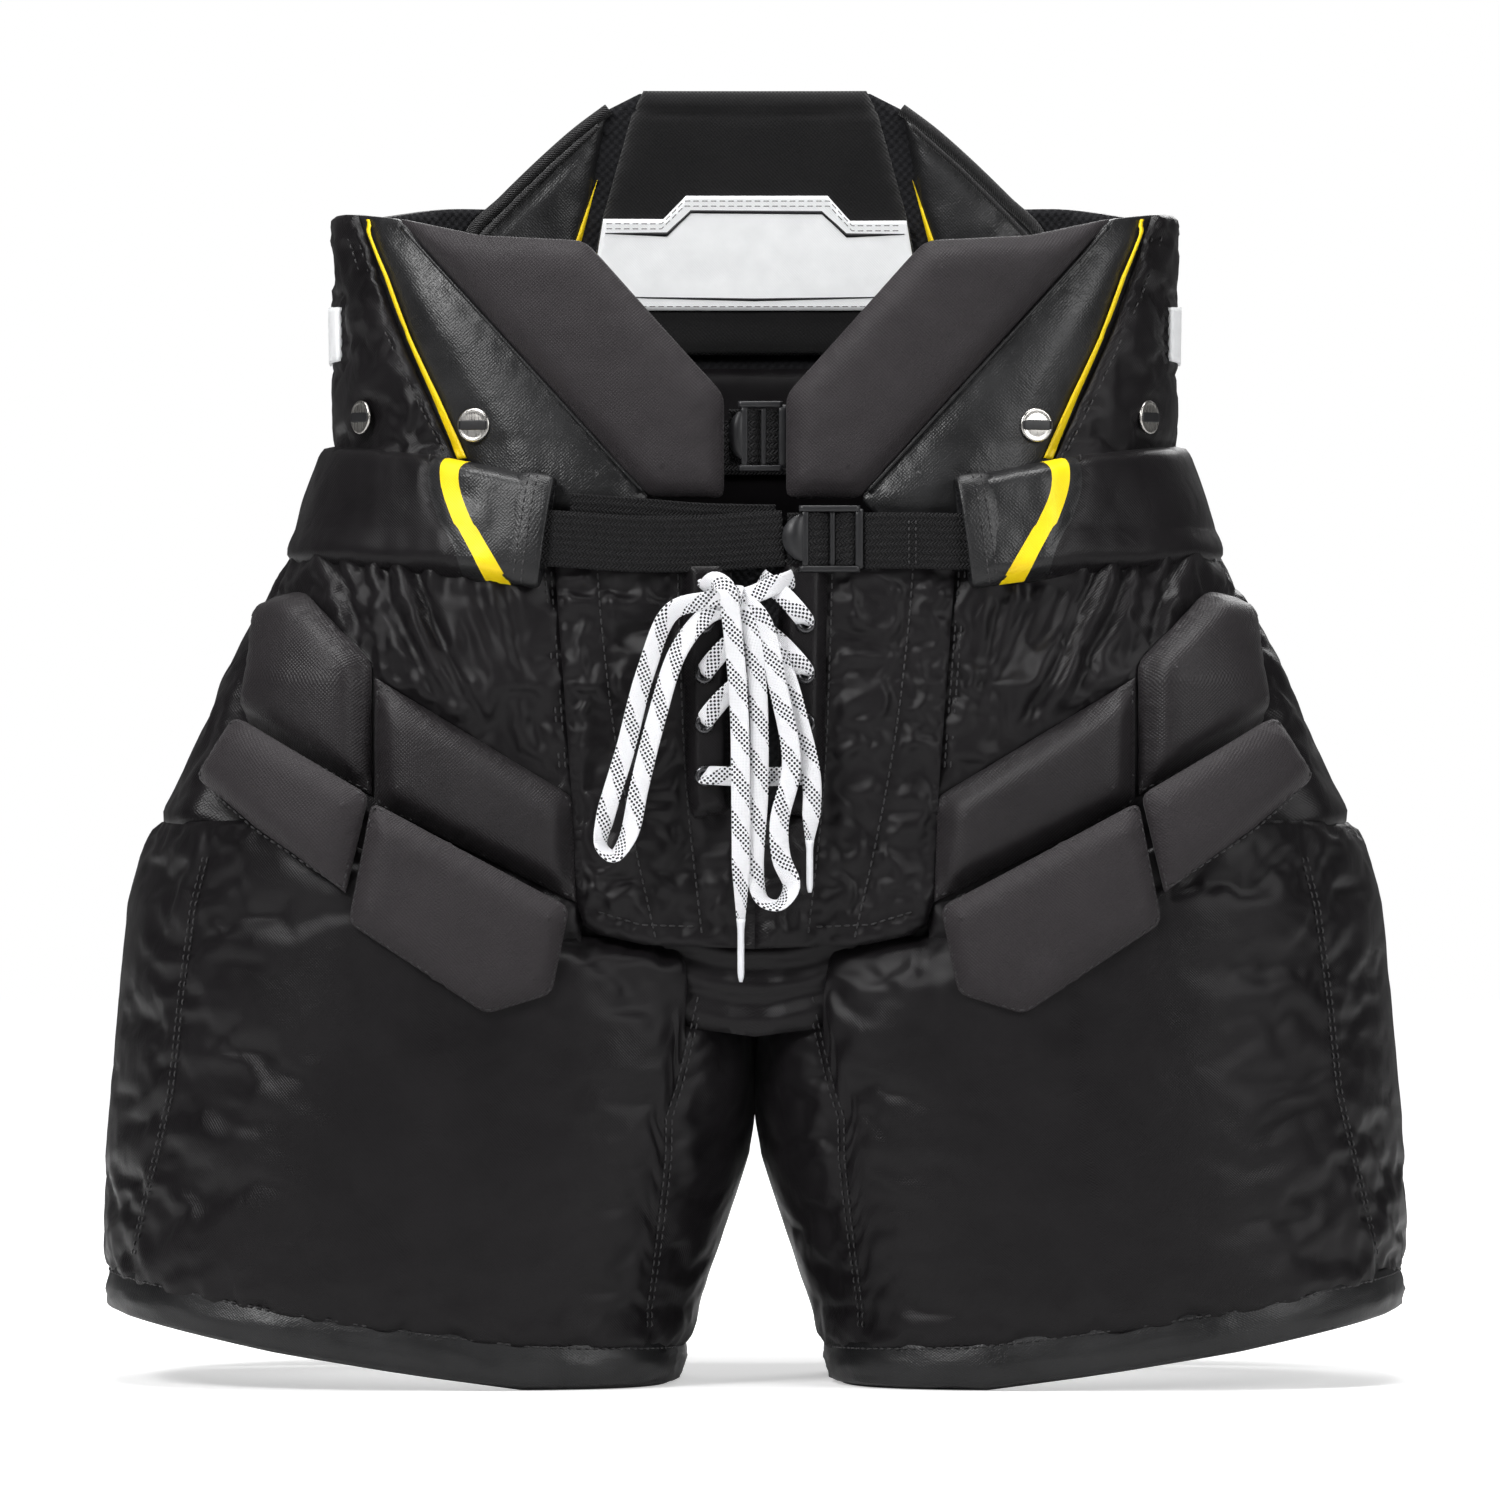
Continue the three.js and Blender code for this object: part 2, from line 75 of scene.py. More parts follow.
# Height, centre, half width, depth to the front and back, squareness towards -X and +X.
TORSO_ROWS = [
    (190, 0, 284, 118, 130, 3.6, 3.6),
    (280, 0, 278, 120, 131, 3.7, 3.7),
    (350, 0, 257, 122, 132, 3.9, 3.9),
    (390, 0, 242, 121, 128, 3.4, 3.4),
    (425, 0, 224, 119, 120, 2.9, 2.9),
    (470, 0, 210, 116, 110, 2.6, 2.6),
    (590, 0, 212, 112, 104, 2.5, 2.5),
    (680, 0, 212, 110, 98, 2.5, 2.5),
]
LEG_ROWS = [
    (-5, 182.5, 142.5, 128, 126, 3.6, 2.6),
    (40, 179.5, 145.5, 129, 128, 3.6, 2.6),
    (115, 165.5, 156.5, 133, 138, 3.6, 2.6),
    (150, 161.5, 157.5, 134, 144, 3.6, 2.6),
    (240, 157.5, 153.5, 134, 151, 3.6, 2.6),
    (280, 152, 148, 134, 150, 3.6, 2.6),
    (340, 140, 136, 133, 147, 3.6, 2.6),
]
ANGLES = np.linspace(-math.pi, math.pi, 1441)
LEVEL_STEP = 5.0


def signed_power(value, exponent):
    return np.sign(value) * np.abs(value) ** exponent


class Form:
    """A lofted section. A place on it is (u, z): u is the distance round from the centre line of
    its front, or of its back when behind is set."""

    def __init__(self, rows, behind=False):
        self.behind = behind
        self.rows = np.array(rows, float)
        self.levels = np.arange(self.rows[0, 0], self.rows[-1, 0] + LEVEL_STEP, LEVEL_STEP)
        ring = self.at(ANGLES[None, :], self.levels[:, None])
        step = np.hypot(*np.moveaxis(np.diff(ring, axis=1)[..., :2], -1, 0))
        reach = np.concatenate([np.zeros((len(self.levels), 1)), np.cumsum(step, axis=1)], axis=1)
        self.reach = reach - reach[:, [len(ANGLES) // 2]]

    def row(self, z):
        return [np.interp(z, self.rows[:, 0], self.rows[:, k]) for k in range(1, 7)]

    def at(self, angle, z):
        centre, half, front, back, low, high = self.row(z)
        hand = -1 if self.behind else 1
        sine, cosine = hand * np.sin(angle), hand * np.cos(angle)
        square = np.where(sine < 0, low, high)
        x = centre + half * signed_power(sine, 2 / square)
        y = np.where(cosine > 0, -front, back) * np.abs(cosine) ** (2 / square)
        return np.stack(np.broadcast_arrays(x, y, z), -1)

    def _level(self, z):
        k = np.clip(((z - self.levels[0]) // LEVEL_STEP).astype(int), 0, len(self.levels) - 2)
        return k, (z - self.levels[k]) / LEVEL_STEP

    def angle(self, u, z):
        u, z = np.atleast_1d(u).astype(float), np.atleast_1d(z).astype(float)
        k, t = self._level(z)
        out = np.zeros(len(u))
        for level in np.unique(k):
            m = k == level
            a = np.interp(u[m], self.reach[level], ANGLES)
            b = np.interp(u[m], self.reach[level + 1], ANGLES)
            out[m] = a + (b - a) * t[m]
        return out

    def u_at(self, angle, z):
        k, t = self._level(np.float64(z))
        a = np.interp(angle, ANGLES, self.reach[k])
        b = np.interp(angle, ANGLES, self.reach[k + 1])
        return float(a + (b - a) * t)

    def u_of_x(self, x, z, far=False):
        """u of the point at x on the near half, or on the far half."""
        centre, half, _, _, low, high = self.row(z)
        square = low if x < centre else high
        angle = math.asin(min(1.0, abs(x - centre) / half) ** (square / 2))
        angle = math.pi - angle if far else angle
        return self.u_at(math.copysign(angle, (x - centre) * (-1 if self.behind else 1)), z)

    def u_of_y(self, y, z, side=1):
        """u of the point at y on the +X or the -X side."""
        _, _, front, back, low, high = self.row(z)
        square = low if side < 0 else high
        share = (abs(y) / (front if y < 0 else back)) ** (square / 2)
        angle = math.acos(math.copysign(share, y if self.behind else -y))
        return self.u_at(angle * side * (-1 if self.behind else 1), z)

    def normal(self, uv):
        u, z = uv[:, 0], uv[:, 1]
        across = self.place(u + 1.5, z) - self.place(u - 1.5, z)
        up = self.place(u, z + 1.5) - self.place(u, z - 1.5)
        n = np.cross(across, up)
        return n / np.maximum(np.linalg.norm(n, axis=1)[:, None], 1e-9)

    def place(self, u, z):
        return self.at(self.angle(u, z), z)

    def surface(self, uv, lift):
        uv = np.asarray(uv, float)
        return self.place(uv[:, 0], uv[:, 1]) + self.normal(uv) * np.reshape(lift, (-1, 1))

    def from_front(self, points, step=5.0):
        """Straight front-view lines through (x, z) points, as (u, z)."""
        return [(self.u_of_x(x, z), z) for x, z in resample(points, step)]

    def along_y(self, y, z_from, z_to, side=1, step=5.0):
        """A line at one y, up or down the form, as (u, z)."""
        count = max(2, int(abs(z_to - z_from) / step))
        return [(self.u_of_y(y, z, side), z) for z in np.linspace(z_from, z_to, count)]


    def region(self, points):
        """A closed front-view outline of (x, z) corners, as (u, z)."""
        return self.from_front(points + points[:1])[:-1]

    def corners(self, points):
        """Only the corners of a front-view outline or line, as (u, z)."""
        return [(self.u_of_x(x, z), z) for x, z in points]


def resample(points, step, closed=False):
    """Points along a polyline no further apart than step; its own corners are kept."""
    points = [tuple(map(float, p)) for p in points]
    ends = points[1:] + points[:1] if closed else points[1:]
    out = []
    for a, b in zip(points, ends):
        count = max(1, math.ceil(math.dist(a, b) / step))
        out += [tuple(a[i] + (b[i] - a[i]) * k / count for i in range(len(a))) for k in range(count)]
    return out if closed else out + [points[-1]]


def mirrored(points, side):
    """Points made for the +X side, brought to the side that is meant."""
    return points * np.array([side, 1, 1])


TORSO = Form(TORSO_ROWS)
TORSO_BACK = Form(TORSO_ROWS, behind=True)
LEG = Form(LEG_ROWS)


class Noise:
    """Smooth seeded noise over the plane, about -1 to 1."""

    def __init__(self, seed):
        self.grid = np.random.default_rng(seed).uniform(-1, 1, (128, 128))

    def at(self, x, y, octaves=1):
        total, weight = 0.0, 1.0
        for octave in range(octaves):
            total = total + weight * self._one(x * 2 ** octave + 13.7 * octave, y * 2 ** octave)
            weight *= 0.5
        return total

    def _one(self, x, y):
        i, j = np.floor(x).astype(int), np.floor(y).astype(int)
        s, t = x - i, y - j
        s, t = s * s * (3 - 2 * s), t * t * (3 - 2 * t)
        i1, j1 = (i + 1) % 128, (j + 1) % 128
        i, j = i % 128, j % 128
        low = self.grid[i, j] * (1 - s) + self.grid[i1, j] * s
        high = self.grid[i, j1] * (1 - s) + self.grid[i1, j1] * s
        return low * (1 - t) + high * t


def distance_to(points, line, closed=False):
    """Distance from each point to a polyline."""
    line = np.asarray(line, float)
    ends = np.roll(line, -1, axis=0) if closed else line[1:]
    starts = line if closed else line[:-1]
    best = np.full(len(points), 1e9)
    for a, b in zip(starts, ends):
        ab = b - a
        t = np.clip(((points - a) @ ab) / max(ab @ ab, 1e-9), 0, 1)
        best = np.minimum(best, np.linalg.norm(points - a - t[:, None] * ab, axis=1))
    return best


# ---------------------------------------------------------------- meshes

def new_object(name, vertices, faces, uv=None, materials=(), face_material=None, smooth=True):
    """A mesh object from millimetre points. uv is one pair for each vertex, in millimetres."""
    mesh = bpy.data.meshes.new(name)
    mesh.from_pydata((np.asarray(vertices, float) * MM).tolist(), [], [list(map(int, f)) for f in faces])
    mesh.update()
    for material in materials:
        mesh.materials.append(material)
    if face_material is not None:
        mesh.polygons.foreach_set("material_index", np.asarray(face_material, np.int32))
    if uv is not None:
        layer = mesh.uv_layers.new(name="UVMap")
        loops = np.zeros(len(mesh.loops), np.int32)
        mesh.loops.foreach_get("vertex_index", loops)
        layer.data.foreach_set("uv", (np.asarray(uv, float)[loops] * MM).astype(np.float32).ravel())
    mesh.polygons.foreach_set("use_smooth", np.full(len(mesh.polygons), smooth))
    obj = bpy.data.objects.new(name, mesh)
    bpy.context.scene.collection.objects.link(obj)
    return obj


def ring_faces(rings, around, wrap=False):
    """Faces between rings of points, with a cap at each end or, with wrap, back to the first ring."""
    faces = []
    for i in range(rings if wrap else rings - 1):
        j = (i + 1) % rings
        for k in range(around):
            m = (k + 1) % around
            faces.append((i * around + k, i * around + m, j * around + m, j * around + k))
    if not wrap:
        faces.append(tuple(range(around))[::-1])
        faces.append(tuple((rings - 1) * around + k for k in range(around)))
    return faces


class Patch:
    """A piece of skin cut out of a form: its plan in (u, z), a mesh and its lift at each point.
    slide moves the skin alone, as cloth, and shift moves the skin and its back."""
    shift = 0.0

    def __init__(self, form, outline, spacing=3.0, creases=(), side=1, guides=()):
        self.form, self.side, self.creases = form, side, [list(c) for c in creases]
        self.outline = list(outline)
        kept_lines = self.creases + [list(g) for g in guides]
        border = resample(self.outline, spacing, closed=True)
        points, edges = list(border), []
        for crease in kept_lines:
            line = resample(crease, spacing)
            edges += [(len(points) + i, len(points) + i + 1) for i in range(len(line) - 1)]
            points += line
        fixed = np.array(points)
        inside = self._lattice(spacing, border)
        near = distance_to(inside, border, closed=True)
        for crease in kept_lines:
            near = np.minimum(near, distance_to(inside, crease))
        inside = inside[near > spacing * 0.55]
        everything = [Vector(p) for p in np.vstack([fixed, inside])]
        made = geometry.delaunay_2d_cdt(everything, edges, [list(range(len(border)))], 1, 1e-5)
        self.uv = np.array([tuple(v) for v in made[0]])
        self.cells = np.array([f for f in made[2] if len(f) == 3])
        used, renamed = np.unique(self.cells, return_inverse=True)
        self.uv, self.cells = self.uv[used], renamed.reshape(self.cells.shape)
        self.edge = distance_to(self.uv, self.outline, closed=True)
        self.crease = np.full(len(self.uv), 1e9)
        for crease in self.creases:
            self.crease = np.minimum(self.crease, distance_to(self.uv, crease))
        self.lift = np.zeros(len(self.uv))
        self.slide = np.zeros((len(self.uv), 3))

    def _lattice(self, spacing, border):
        low, high = np.min(border, axis=0), np.max(border, axis=0)
        rows = np.arange(low[1], high[1], spacing * 0.866)
        columns = np.arange(low[0], high[0], spacing)
        u, z = np.meshgrid(columns, rows)
        u = u + (np.arange(len(rows)) % 2)[:, None] * spacing / 2
        points = np.stack([u.ravel(), z.ravel()], -1)
        return points[inside_polygon(points, border)]

    def seam(self):
        """Distance to the nearest border or crease."""
        return np.minimum(self.edge, self.crease)

    def world(self, points):
        return mirrored(points, self.side)

    def skin(self):
        return self.world(self.form.surface(self.uv, self.lift) + self.slide + self.shift)

    def faces(self, flip=False):
        """Cells facing out, or in when flip is set."""
        p = self.skin()
        a, b, c = (p[self.cells[:, k]] for k in range(3))
        n = self.world(self.form.normal(self.uv))
        out = np.einsum("ij,ij->i", np.cross(b - a, c - a), n[self.cells[:, 0]]) > 0
        return np.where((out != flip)[:, None], self.cells, self.cells[:, ::-1])

    def close(self, name, back, materials, pick=None, inward=False):
        """The finished closed piece: this skin, a back at its own lift, and the walls between them.
        The first material is the skin's and the last the back's; pick may choose others by face."""
        count = len(self.uv)
        front = self.faces(flip=inward)
        behind = self.world(self.form.surface(self.uv, np.broadcast_to(back, count)) + self.shift)
        loops = np.stack([front, np.roll(front, -1, axis=1)], -1).reshape(-1, 2)
        known = set(map(tuple, loops.tolist()))
        walls = [(b, a, a + count, b + count) for a, b in known if (b, a) not in known]
        walls.sort()
        faces = front.tolist() + (front[:, ::-1] + count).tolist() + walls
        index = np.zeros(len(faces), int)
        if pick is not None:
            index[:len(front)] = pick(self.uv[front].mean(axis=1))
        index[len(front):2 * len(front)] = len(materials) - 1
        uv = np.vstack([self.uv, self.uv + 3.1])
        return new_object(name, np.vstack([self.skin(), behind]), faces, uv, materials, index)


class Sleeve(Patch):
    """A closed ring of skin in rows and columns. keys are (u at each z) lines that columns follow."""

    def __init__(self, form, keys, counts, low, high, rows, side=1):
        self.form, self.side = form, side
        middle = 130.0
        u_keys = [float(np.interp(middle, *key)) for key in keys]
        mix = [(k, i / n) for k, n in enumerate(counts) for i in range(n)]
        left = np.array([u_keys[k] for k, _ in mix])
        right = np.array([u_keys[k + 1] for k, _ in mix])
        share = np.array([t for _, t in mix])
        reference = form.place(left + (right - left) * share, np.full(len(mix), middle))
        bottom, top = low(reference), high(reference)
        t = np.linspace(0, 1, rows)[:, None]
        z = bottom + (top - bottom) * t
        at = np.stack([np.interp(z, *key) for key in keys])
        index = np.array([k for k, _ in mix])
        columns = np.arange(len(mix))
        u = at[index, :, columns].T * (1 - share) + at[index + 1, :, columns].T * share
        self.shape = (rows, len(mix))
        self.uv = np.stack([u.ravel(), z.ravel()], -1)
        self.height = np.broadcast_to(t, self.shape).ravel()
        grid = np.arange(rows * len(mix)).reshape(self.shape)
        after = np.roll(grid, -1, axis=1)
        self.cells = np.stack([grid[:-1], after[:-1], after[1:], grid[1:]], -1).reshape(-1, 4)
        self.edge = np.minimum(self.uv[:, 1] - np.tile(bottom, rows),
                               np.tile(top, rows) - self.uv[:, 1])
        self.crease = np.full(len(self.uv), 1e9)
        for key in keys[1:-1]:
            away = np.abs(self.uv[:, 0] - np.interp(self.uv[:, 1], *key))
            self.crease = np.minimum(self.crease, away)
        self.lift = np.zeros(len(self.uv))
        self.slide = np.zeros((len(self.uv), 3))

    def carry_from(self, coarse):
        """Takes the slide of a sleeve with half the columns and rows, with cubic midpoints."""
        field = coarse.slide.reshape(*coarse.shape, 3)
        ahead, behind = np.roll(field, -1, axis=1), np.roll(field, 1, axis=1)
        middle = (9 * (field + ahead) - behind - np.roll(field, -2, axis=1)) / 16
        wide = np.stack([field, middle], 2).reshape(coarse.shape[0], -1, 3)
        padded = np.concatenate([wide[:1], wide, wide[-1:]])
        between = (9 * (wide[:-1] + wide[1:]) - padded[:-3] - padded[3:]) / 16
        tall = np.empty((2 * len(wide) - 1, wide.shape[1], 3))
        tall[0::2], tall[1::2] = wide, between
        self.slide = tall.reshape(-1, 3)


def inside_polygon(points, polygon):
    polygon = np.asarray(polygon, float)
    inside = np.zeros(len(points), bool)
    x, y = points[:, 0], points[:, 1]
    for (x0, y0), (x1, y1) in zip(polygon, np.roll(polygon, -1, axis=0)):
        if y0 == y1:
            continue
        crosses = (y0 > y) != (y1 > y)
        inside ^= crosses & (x < (x1 - x0) * (y - y0) / (y1 - y0) + x0)
    return inside


def inset(outline, distance):
    """A polygon with each edge moved inwards."""
    p = np.asarray(outline, float)
    turn = np.sign(np.sum(p[:, 0] * np.roll(p[:, 1], -1) - np.roll(p[:, 0], -1) * p[:, 1]))
    before, after = p - np.roll(p, 1, axis=0), np.roll(p, -1, axis=0) - p
    a = before / np.linalg.norm(before, axis=1)[:, None]
    b = after / np.linalg.norm(after, axis=1)[:, None]
    corner = np.stack([-a[:, 1] - b[:, 1], a[:, 0] + b[:, 0]], -1)
    reach = np.minimum(2 * distance / np.maximum((corner ** 2).sum(1), 0.3), 3 * distance)
    return [tuple(q) for q in p + turn * corner * reach[:, None]]


def tube(name, path, radius, material, around=10, closed=False, taper=None, flat=1.0, normal=None,
         square=1.0):
    """A tube along points. flat squeezes it along normal; square below 1 makes its section boxy."""
    path = np.asarray(path, float)
    count = len(path)
    if closed:
        tangent = np.roll(path, -1, axis=0) - np.roll(path, 1, axis=0)
    else:
        tangent = np.gradient(path, axis=0)
    tangent /= np.linalg.norm(tangent, axis=1)[:, None]
    if normal is None:
        normal = np.tile([0.0, -1.0, 0.0], (count, 1))
        normal[np.abs(tangent[:, 1]) > 0.9] = [0, 0, 1.0]
    normal = np.broadcast_to(np.asarray(normal, float), (count, 3)).copy()
    normal -= tangent * np.einsum("ij,ij->i", normal, tangent)[:, None]
    normal /= np.linalg.norm(normal, axis=1)[:, None]
    across = np.cross(tangent, normal)
    sizes = np.broadcast_to(radius if taper is None else radius * np.asarray(taper), count)
    turn = np.arange(around) * 2 * math.pi / around
    wide, deep = signed_power(np.cos(turn), square), flat * signed_power(np.sin(turn), square)
    rings = path[:, None] + sizes[:, None, None] * (
        across[:, None] * wide[None, :, None] + normal[:, None] * deep[None, :, None])
    length = np.concatenate([[0], np.cumsum(np.linalg.norm(np.diff(path, axis=0), axis=1))])
    girth = np.concatenate([[0], np.cumsum(np.hypot(np.diff(wide), np.diff(deep)))]) * radius
    uv = np.stack([np.repeat(length, around), np.tile(girth, count)], -1)
    faces = ring_faces(count, around, closed)
    return fix_normals(new_object(name, rings.reshape(-1, 3), faces, uv, [material]))


def fix_normals(obj):
    """Turns every face of a closed mesh outwards."""
    bm = bmesh.new()
    bm.from_mesh(obj.data)
    bmesh.ops.recalc_face_normals(bm, faces=bm.faces)
    bm.to_mesh(obj.data)
    bm.free()
    return obj


# ---------------------------------------------------------------- materials

class Shader:
    """A material with short calls for the nodes that cloth and trims need."""

    def __init__(self, name, colour, roughness, specular=0.3, metallic=0.0, sheen=0.0, coat=0.0):
        self.material = bpy.data.materials.new(name)
        self.material.use_nodes = True
        self.material.diffuse_color = (*colour, 1)
        self.tree = self.material.node_tree
        self.bsdf = self.tree.nodes["Principled BSDF"]
        values = {"Base Color": (*colour, 1), "Roughness": roughness, "Specular IOR Level": specular,
                  "Metallic": metallic, "Sheen Weight": sheen, "Sheen Roughness": 0.45,
                  "Coat Weight": coat, "Coat Roughness": 0.35}
        for key, value in values.items():
            self.bsdf.inputs[key].default_value = value
        coordinates = self.node("ShaderNodeTexCoord")
        self.uv, self.object = coordinates.outputs["UV"], coordinates.outputs["Object"]

    def node(self, kind, settings=None, **inputs):
        node = self.tree.nodes.new(kind)
        for key, value in (settings or {}).items():
            setattr(node, key, value)
        for key, value in inputs.items():
            numbered = key[0] == "i" and key[1:].isdigit()
            self.feed(node.inputs[int(key[1:]) if numbered else key.replace("_", " ")], value)
        return node

    def feed(self, socket, value):
        """Links a node's output to the socket, or gives it a plain value."""
        if isinstance(value, bpy.types.NodeSocket):
            self.tree.links.new(value, socket)
        else:
            socket.default_value = value

    def math(self, operation, a, b=0.0, c=0.0):
        return self.node("ShaderNodeMath", {"operation": operation}, i0=a, i1=b, i2=c).outputs[0]

    def axes(self):
        return self.node("ShaderNodeSeparateXYZ", i0=self.uv).outputs

    def noise(self, size, detail=3.0, distortion=0.0, stretch=(1, 1, 1)):
        """Noise whose features are about size millimetres."""
        mapped = self.node("ShaderNodeMapping", Vector=self.object,
                           Scale=[s / (size * MM) for s in stretch])
        return self.node("ShaderNodeTexNoise", Vector=mapped.outputs[0], Scale=1.0, Detail=detail,
                         Distortion=distortion).outputs["Fac"]

    def wave(self, value, pitch, phase=0.0):
        """A sine over a length in metres, one cycle every pitch millimetres."""
        return self.math("SINE", self.math("MULTIPLY_ADD", value, 2 * math.pi / (pitch * MM), phase))

    def weave(self, pitch):
        u, v, _ = self.axes()
        return self.math("MULTIPLY", self.wave(u, 2 * pitch), self.wave(v, 2 * pitch))

    def twill(self, pitch):
        u, v, _ = self.axes()
        return self.wave(self.math("ADD", u, v), pitch)

    def range(self, value, low, high, to_low, to_high):
        node = self.node("ShaderNodeMapRange")
        for socket, x in zip(node.inputs, (value, low, high, to_low, to_high)):
            self.feed(socket, x)
        return node.outputs[0]

    def colour(self, factor, a, b):
        """A mix of two colours."""
        mix = self.node("ShaderNodeMix", {"data_type": "RGBA"}, Factor=factor)
        for key, value in (("A", a), ("B", b)):
            self.feed([s for s in mix.inputs if s.name == key and s.type == "RGBA"][0], (*value, 1))
        return [s for s in mix.outputs if s.type == "RGBA"][0]

    def set(self, socket, value):
        self.tree.links.new(value, self.bsdf.inputs[socket])

    def bump(self, *layers):
        """Stacks (height, depth in millimetres) layers into the shader's normal."""
        normal = None
        for height, depth in layers:
            node = self.node("ShaderNodeBump", Height=height, Distance=depth * MM, Strength=1.0)
            if normal is not None:
                self.tree.links.new(normal, node.inputs["Normal"])
            normal = node.outputs[0]
        self.set("Normal", normal)
        return self


def cloth_material(name, dark, light, rough, pitch, depth, specular, sheen, wrinkle, twill=False):
    """Woven cloth: a weave at its real pitch, soft creases, and uneven colour and gloss."""
    s = Shader(name, dark, rough[0], specular, sheen=sheen)
    patches = s.noise(38, 4)
    threads = s.noise(0.9, 2)
    tone = s.math("MULTIPLY_ADD", threads, 0.5, s.math("MULTIPLY", patches, 0.6))
    s.set("Base Color", s.colour(s.range(tone, 0.3, 0.8, 0, 1), dark, light))
    s.set("Roughness", s.range(patches, 0.3, 0.7, *rough))
    pattern = s.twill(pitch) if twill else s.weave(pitch)
    layers = [(pattern, depth), (threads, depth * 1.4)]
    if wrinkle:
        layers.insert(0, (s.noise(22, 5, 1.2), wrinkle))
    s.bump(*layers)
    return s.material


def leather_material(name, dark, light, rough, grain=1.1):
    """Coated leatherette: small pebbled grain, worn a little lighter in patches."""
    s = Shader(name, dark, rough[0], 0.35, coat=0.08)
    cells = s.node("ShaderNodeTexVoronoi", Vector=s.node(
        "ShaderNodeMapping", Vector=s.object, Scale=[1 / (grain * MM)] * 3).outputs[0], Scale=1.0)
    wear = s.noise(30, 5)
    s.set("Base Color", s.colour(s.range(wear, 0.35, 0.75, 0, 1), dark, light))
    s.set("Roughness", s.range(wear, 0.3, 0.7, *rough))
    s.bump((s.noise(26, 3, 0.8), 0.7), (cells.outputs["Distance"], 0.10), (s.weave(0.9), 0.04))
    return s.material


def webbing_material():
    """Coarse herringbone webbing: ribs that zigzag across the width."""
    s = Shader("webbing", (0.008, 0.008, 0.009), 0.55, 0.15, sheen=0.03)
    u, v, _ = s.axes()
    ribs = s.wave(s.math("ADD", u, s.math("PINGPONG", v, 1.8 * MM)), 1.9)
    rows = s.wave(v, 3.6)
    fuzz = s.noise(0.8, 3)
    s.set("Base Color", s.colour(s.range(ribs, -1, 1, 0, 1), (0.003, 0.003, 0.0035),
                                 (0.014, 0.0135, 0.0145)))
    s.bump((ribs, 0.45), (rows, 0.20), (fuzz, 0.15))
    return s.material


def lace_material():
    """Flat white lace: bands of black dots run slantwise across it, over a fine braid."""
    s = Shader("lace", (0.90, 0.90, 0.93), 0.8, 0.25, sheen=0.2)
    u, v, _ = s.axes()
    band = s.wave(s.math("MULTIPLY_ADD", v, -1.6, u), 25)
    dots = s.math("MULTIPLY", s.wave(u, 2.6), s.wave(v, 2.6))
    inked = s.math("MULTIPLY", s.math("GREATER_THAN", dots, 0.16),
                   s.math("GREATER_THAN", band, 0.05))
    s.set("Base Color", s.colour(inked, (0.90, 0.90, 0.93), (0.012, 0.012, 0.016)))
    braid = s.math("MULTIPLY", s.wave(s.math("ADD", u, v), 1.5),
                   s.wave(s.math("SUBTRACT", u, v), 1.5))
    s.bump((braid, 0.18), (s.noise(0.6, 2), 0.1))
    return s.material


def metal_material(name, colour, rough, brushed):
    s = Shader(name, colour, rough, 0.5, metallic=1.0)
    lines = s.noise(brushed, 4, stretch=(1, 1, 0.06))
    s.set("Roughness", s.range(lines, 0.3, 0.7, rough * 0.8, rough * 1.3))
    s.set("Base Color", s.colour(s.noise(3, 3), colour, tuple(c * 0.75 for c in colour)))
    s.bump((lines, 0.02))
    return s.material


def plastic_material(name, colour, rough, light):
    s = Shader(name, colour, rough, 0.4)
    s.set("Base Color", s.colour(s.noise(5, 4), colour, light))
    s.set("Roughness", s.range(s.noise(2, 3), 0.3, 0.7, rough * 0.85, rough * 1.15))
    s.bump((s.noise(0.35, 2), 0.02))
    return s.material


def coated_material(name, dark, light, rough):
    """A flat coated strip or label: nearly smooth, with a faint cloth backing showing through."""
    s = Shader(name, light, rough, 0.35)
    s.set("Base Color", s.colour(s.range(s.noise(14, 4), 0.3, 0.7, 0, 1), dark, light))
    s.set("Roughness", s.range(s.noise(9, 3), 0.3, 0.7, rough * 0.85, rough * 1.2))
    s.bump((s.weave(0.7), 0.03), (s.noise(12, 3), 0.25))
    return s.material


NYLON = cloth_material("nylon_shell", (0.0040, 0.0034, 0.0040), (0.0085, 0.0074, 0.0084),
                       (0.30, 0.42), 0.75, 0.05, 0.20, 0.02, 0.6)
PAD = cloth_material("pad_fabric", (0.019, 0.0162, 0.018), (0.030, 0.0262, 0.0285),
                     (0.50, 0.62), 0.9, 0.10, 0.20, 0.06, 0.3)
SHELL_PAD = cloth_material("pad_shell", (0.0125, 0.0108, 0.012), (0.020, 0.0176, 0.0192),
                           (0.38, 0.50), 0.9, 0.08, 0.24, 0.04, 0.5)
TRIM = cloth_material("hip_twill", (0.007, 0.007, 0.0075), (0.016, 0.015, 0.016),
                      (0.6, 0.7), 1.6, 0.22, 0.25, 0.15, 0.2, twill=True)
KNIT = cloth_material("spine_knit", (0.006, 0.006, 0.0065), (0.014, 0.0135, 0.014),
                      (0.9, 1.0), 1.0, 0.10, 0.12, 0.35, 0.2)
LINER = cloth_material("mesh_liner", (0.006, 0.006, 0.007), (0.015, 0.015, 0.017),
                       (0.8, 0.95), 2.4, 0.30, 0.15, 0.10, 0.2)
THREAD = cloth_material("stitch_thread", (0.010, 0.010, 0.011), (0.040, 0.038, 0.040),
                        (0.5, 0.6), 0.5, 0.03, 0.35, 0.2, 0.0)
LEATHER = leather_material("leatherette", (0.0080, 0.0080, 0.0086), (0.017, 0.017, 0.018),
                           (0.33, 0.44))
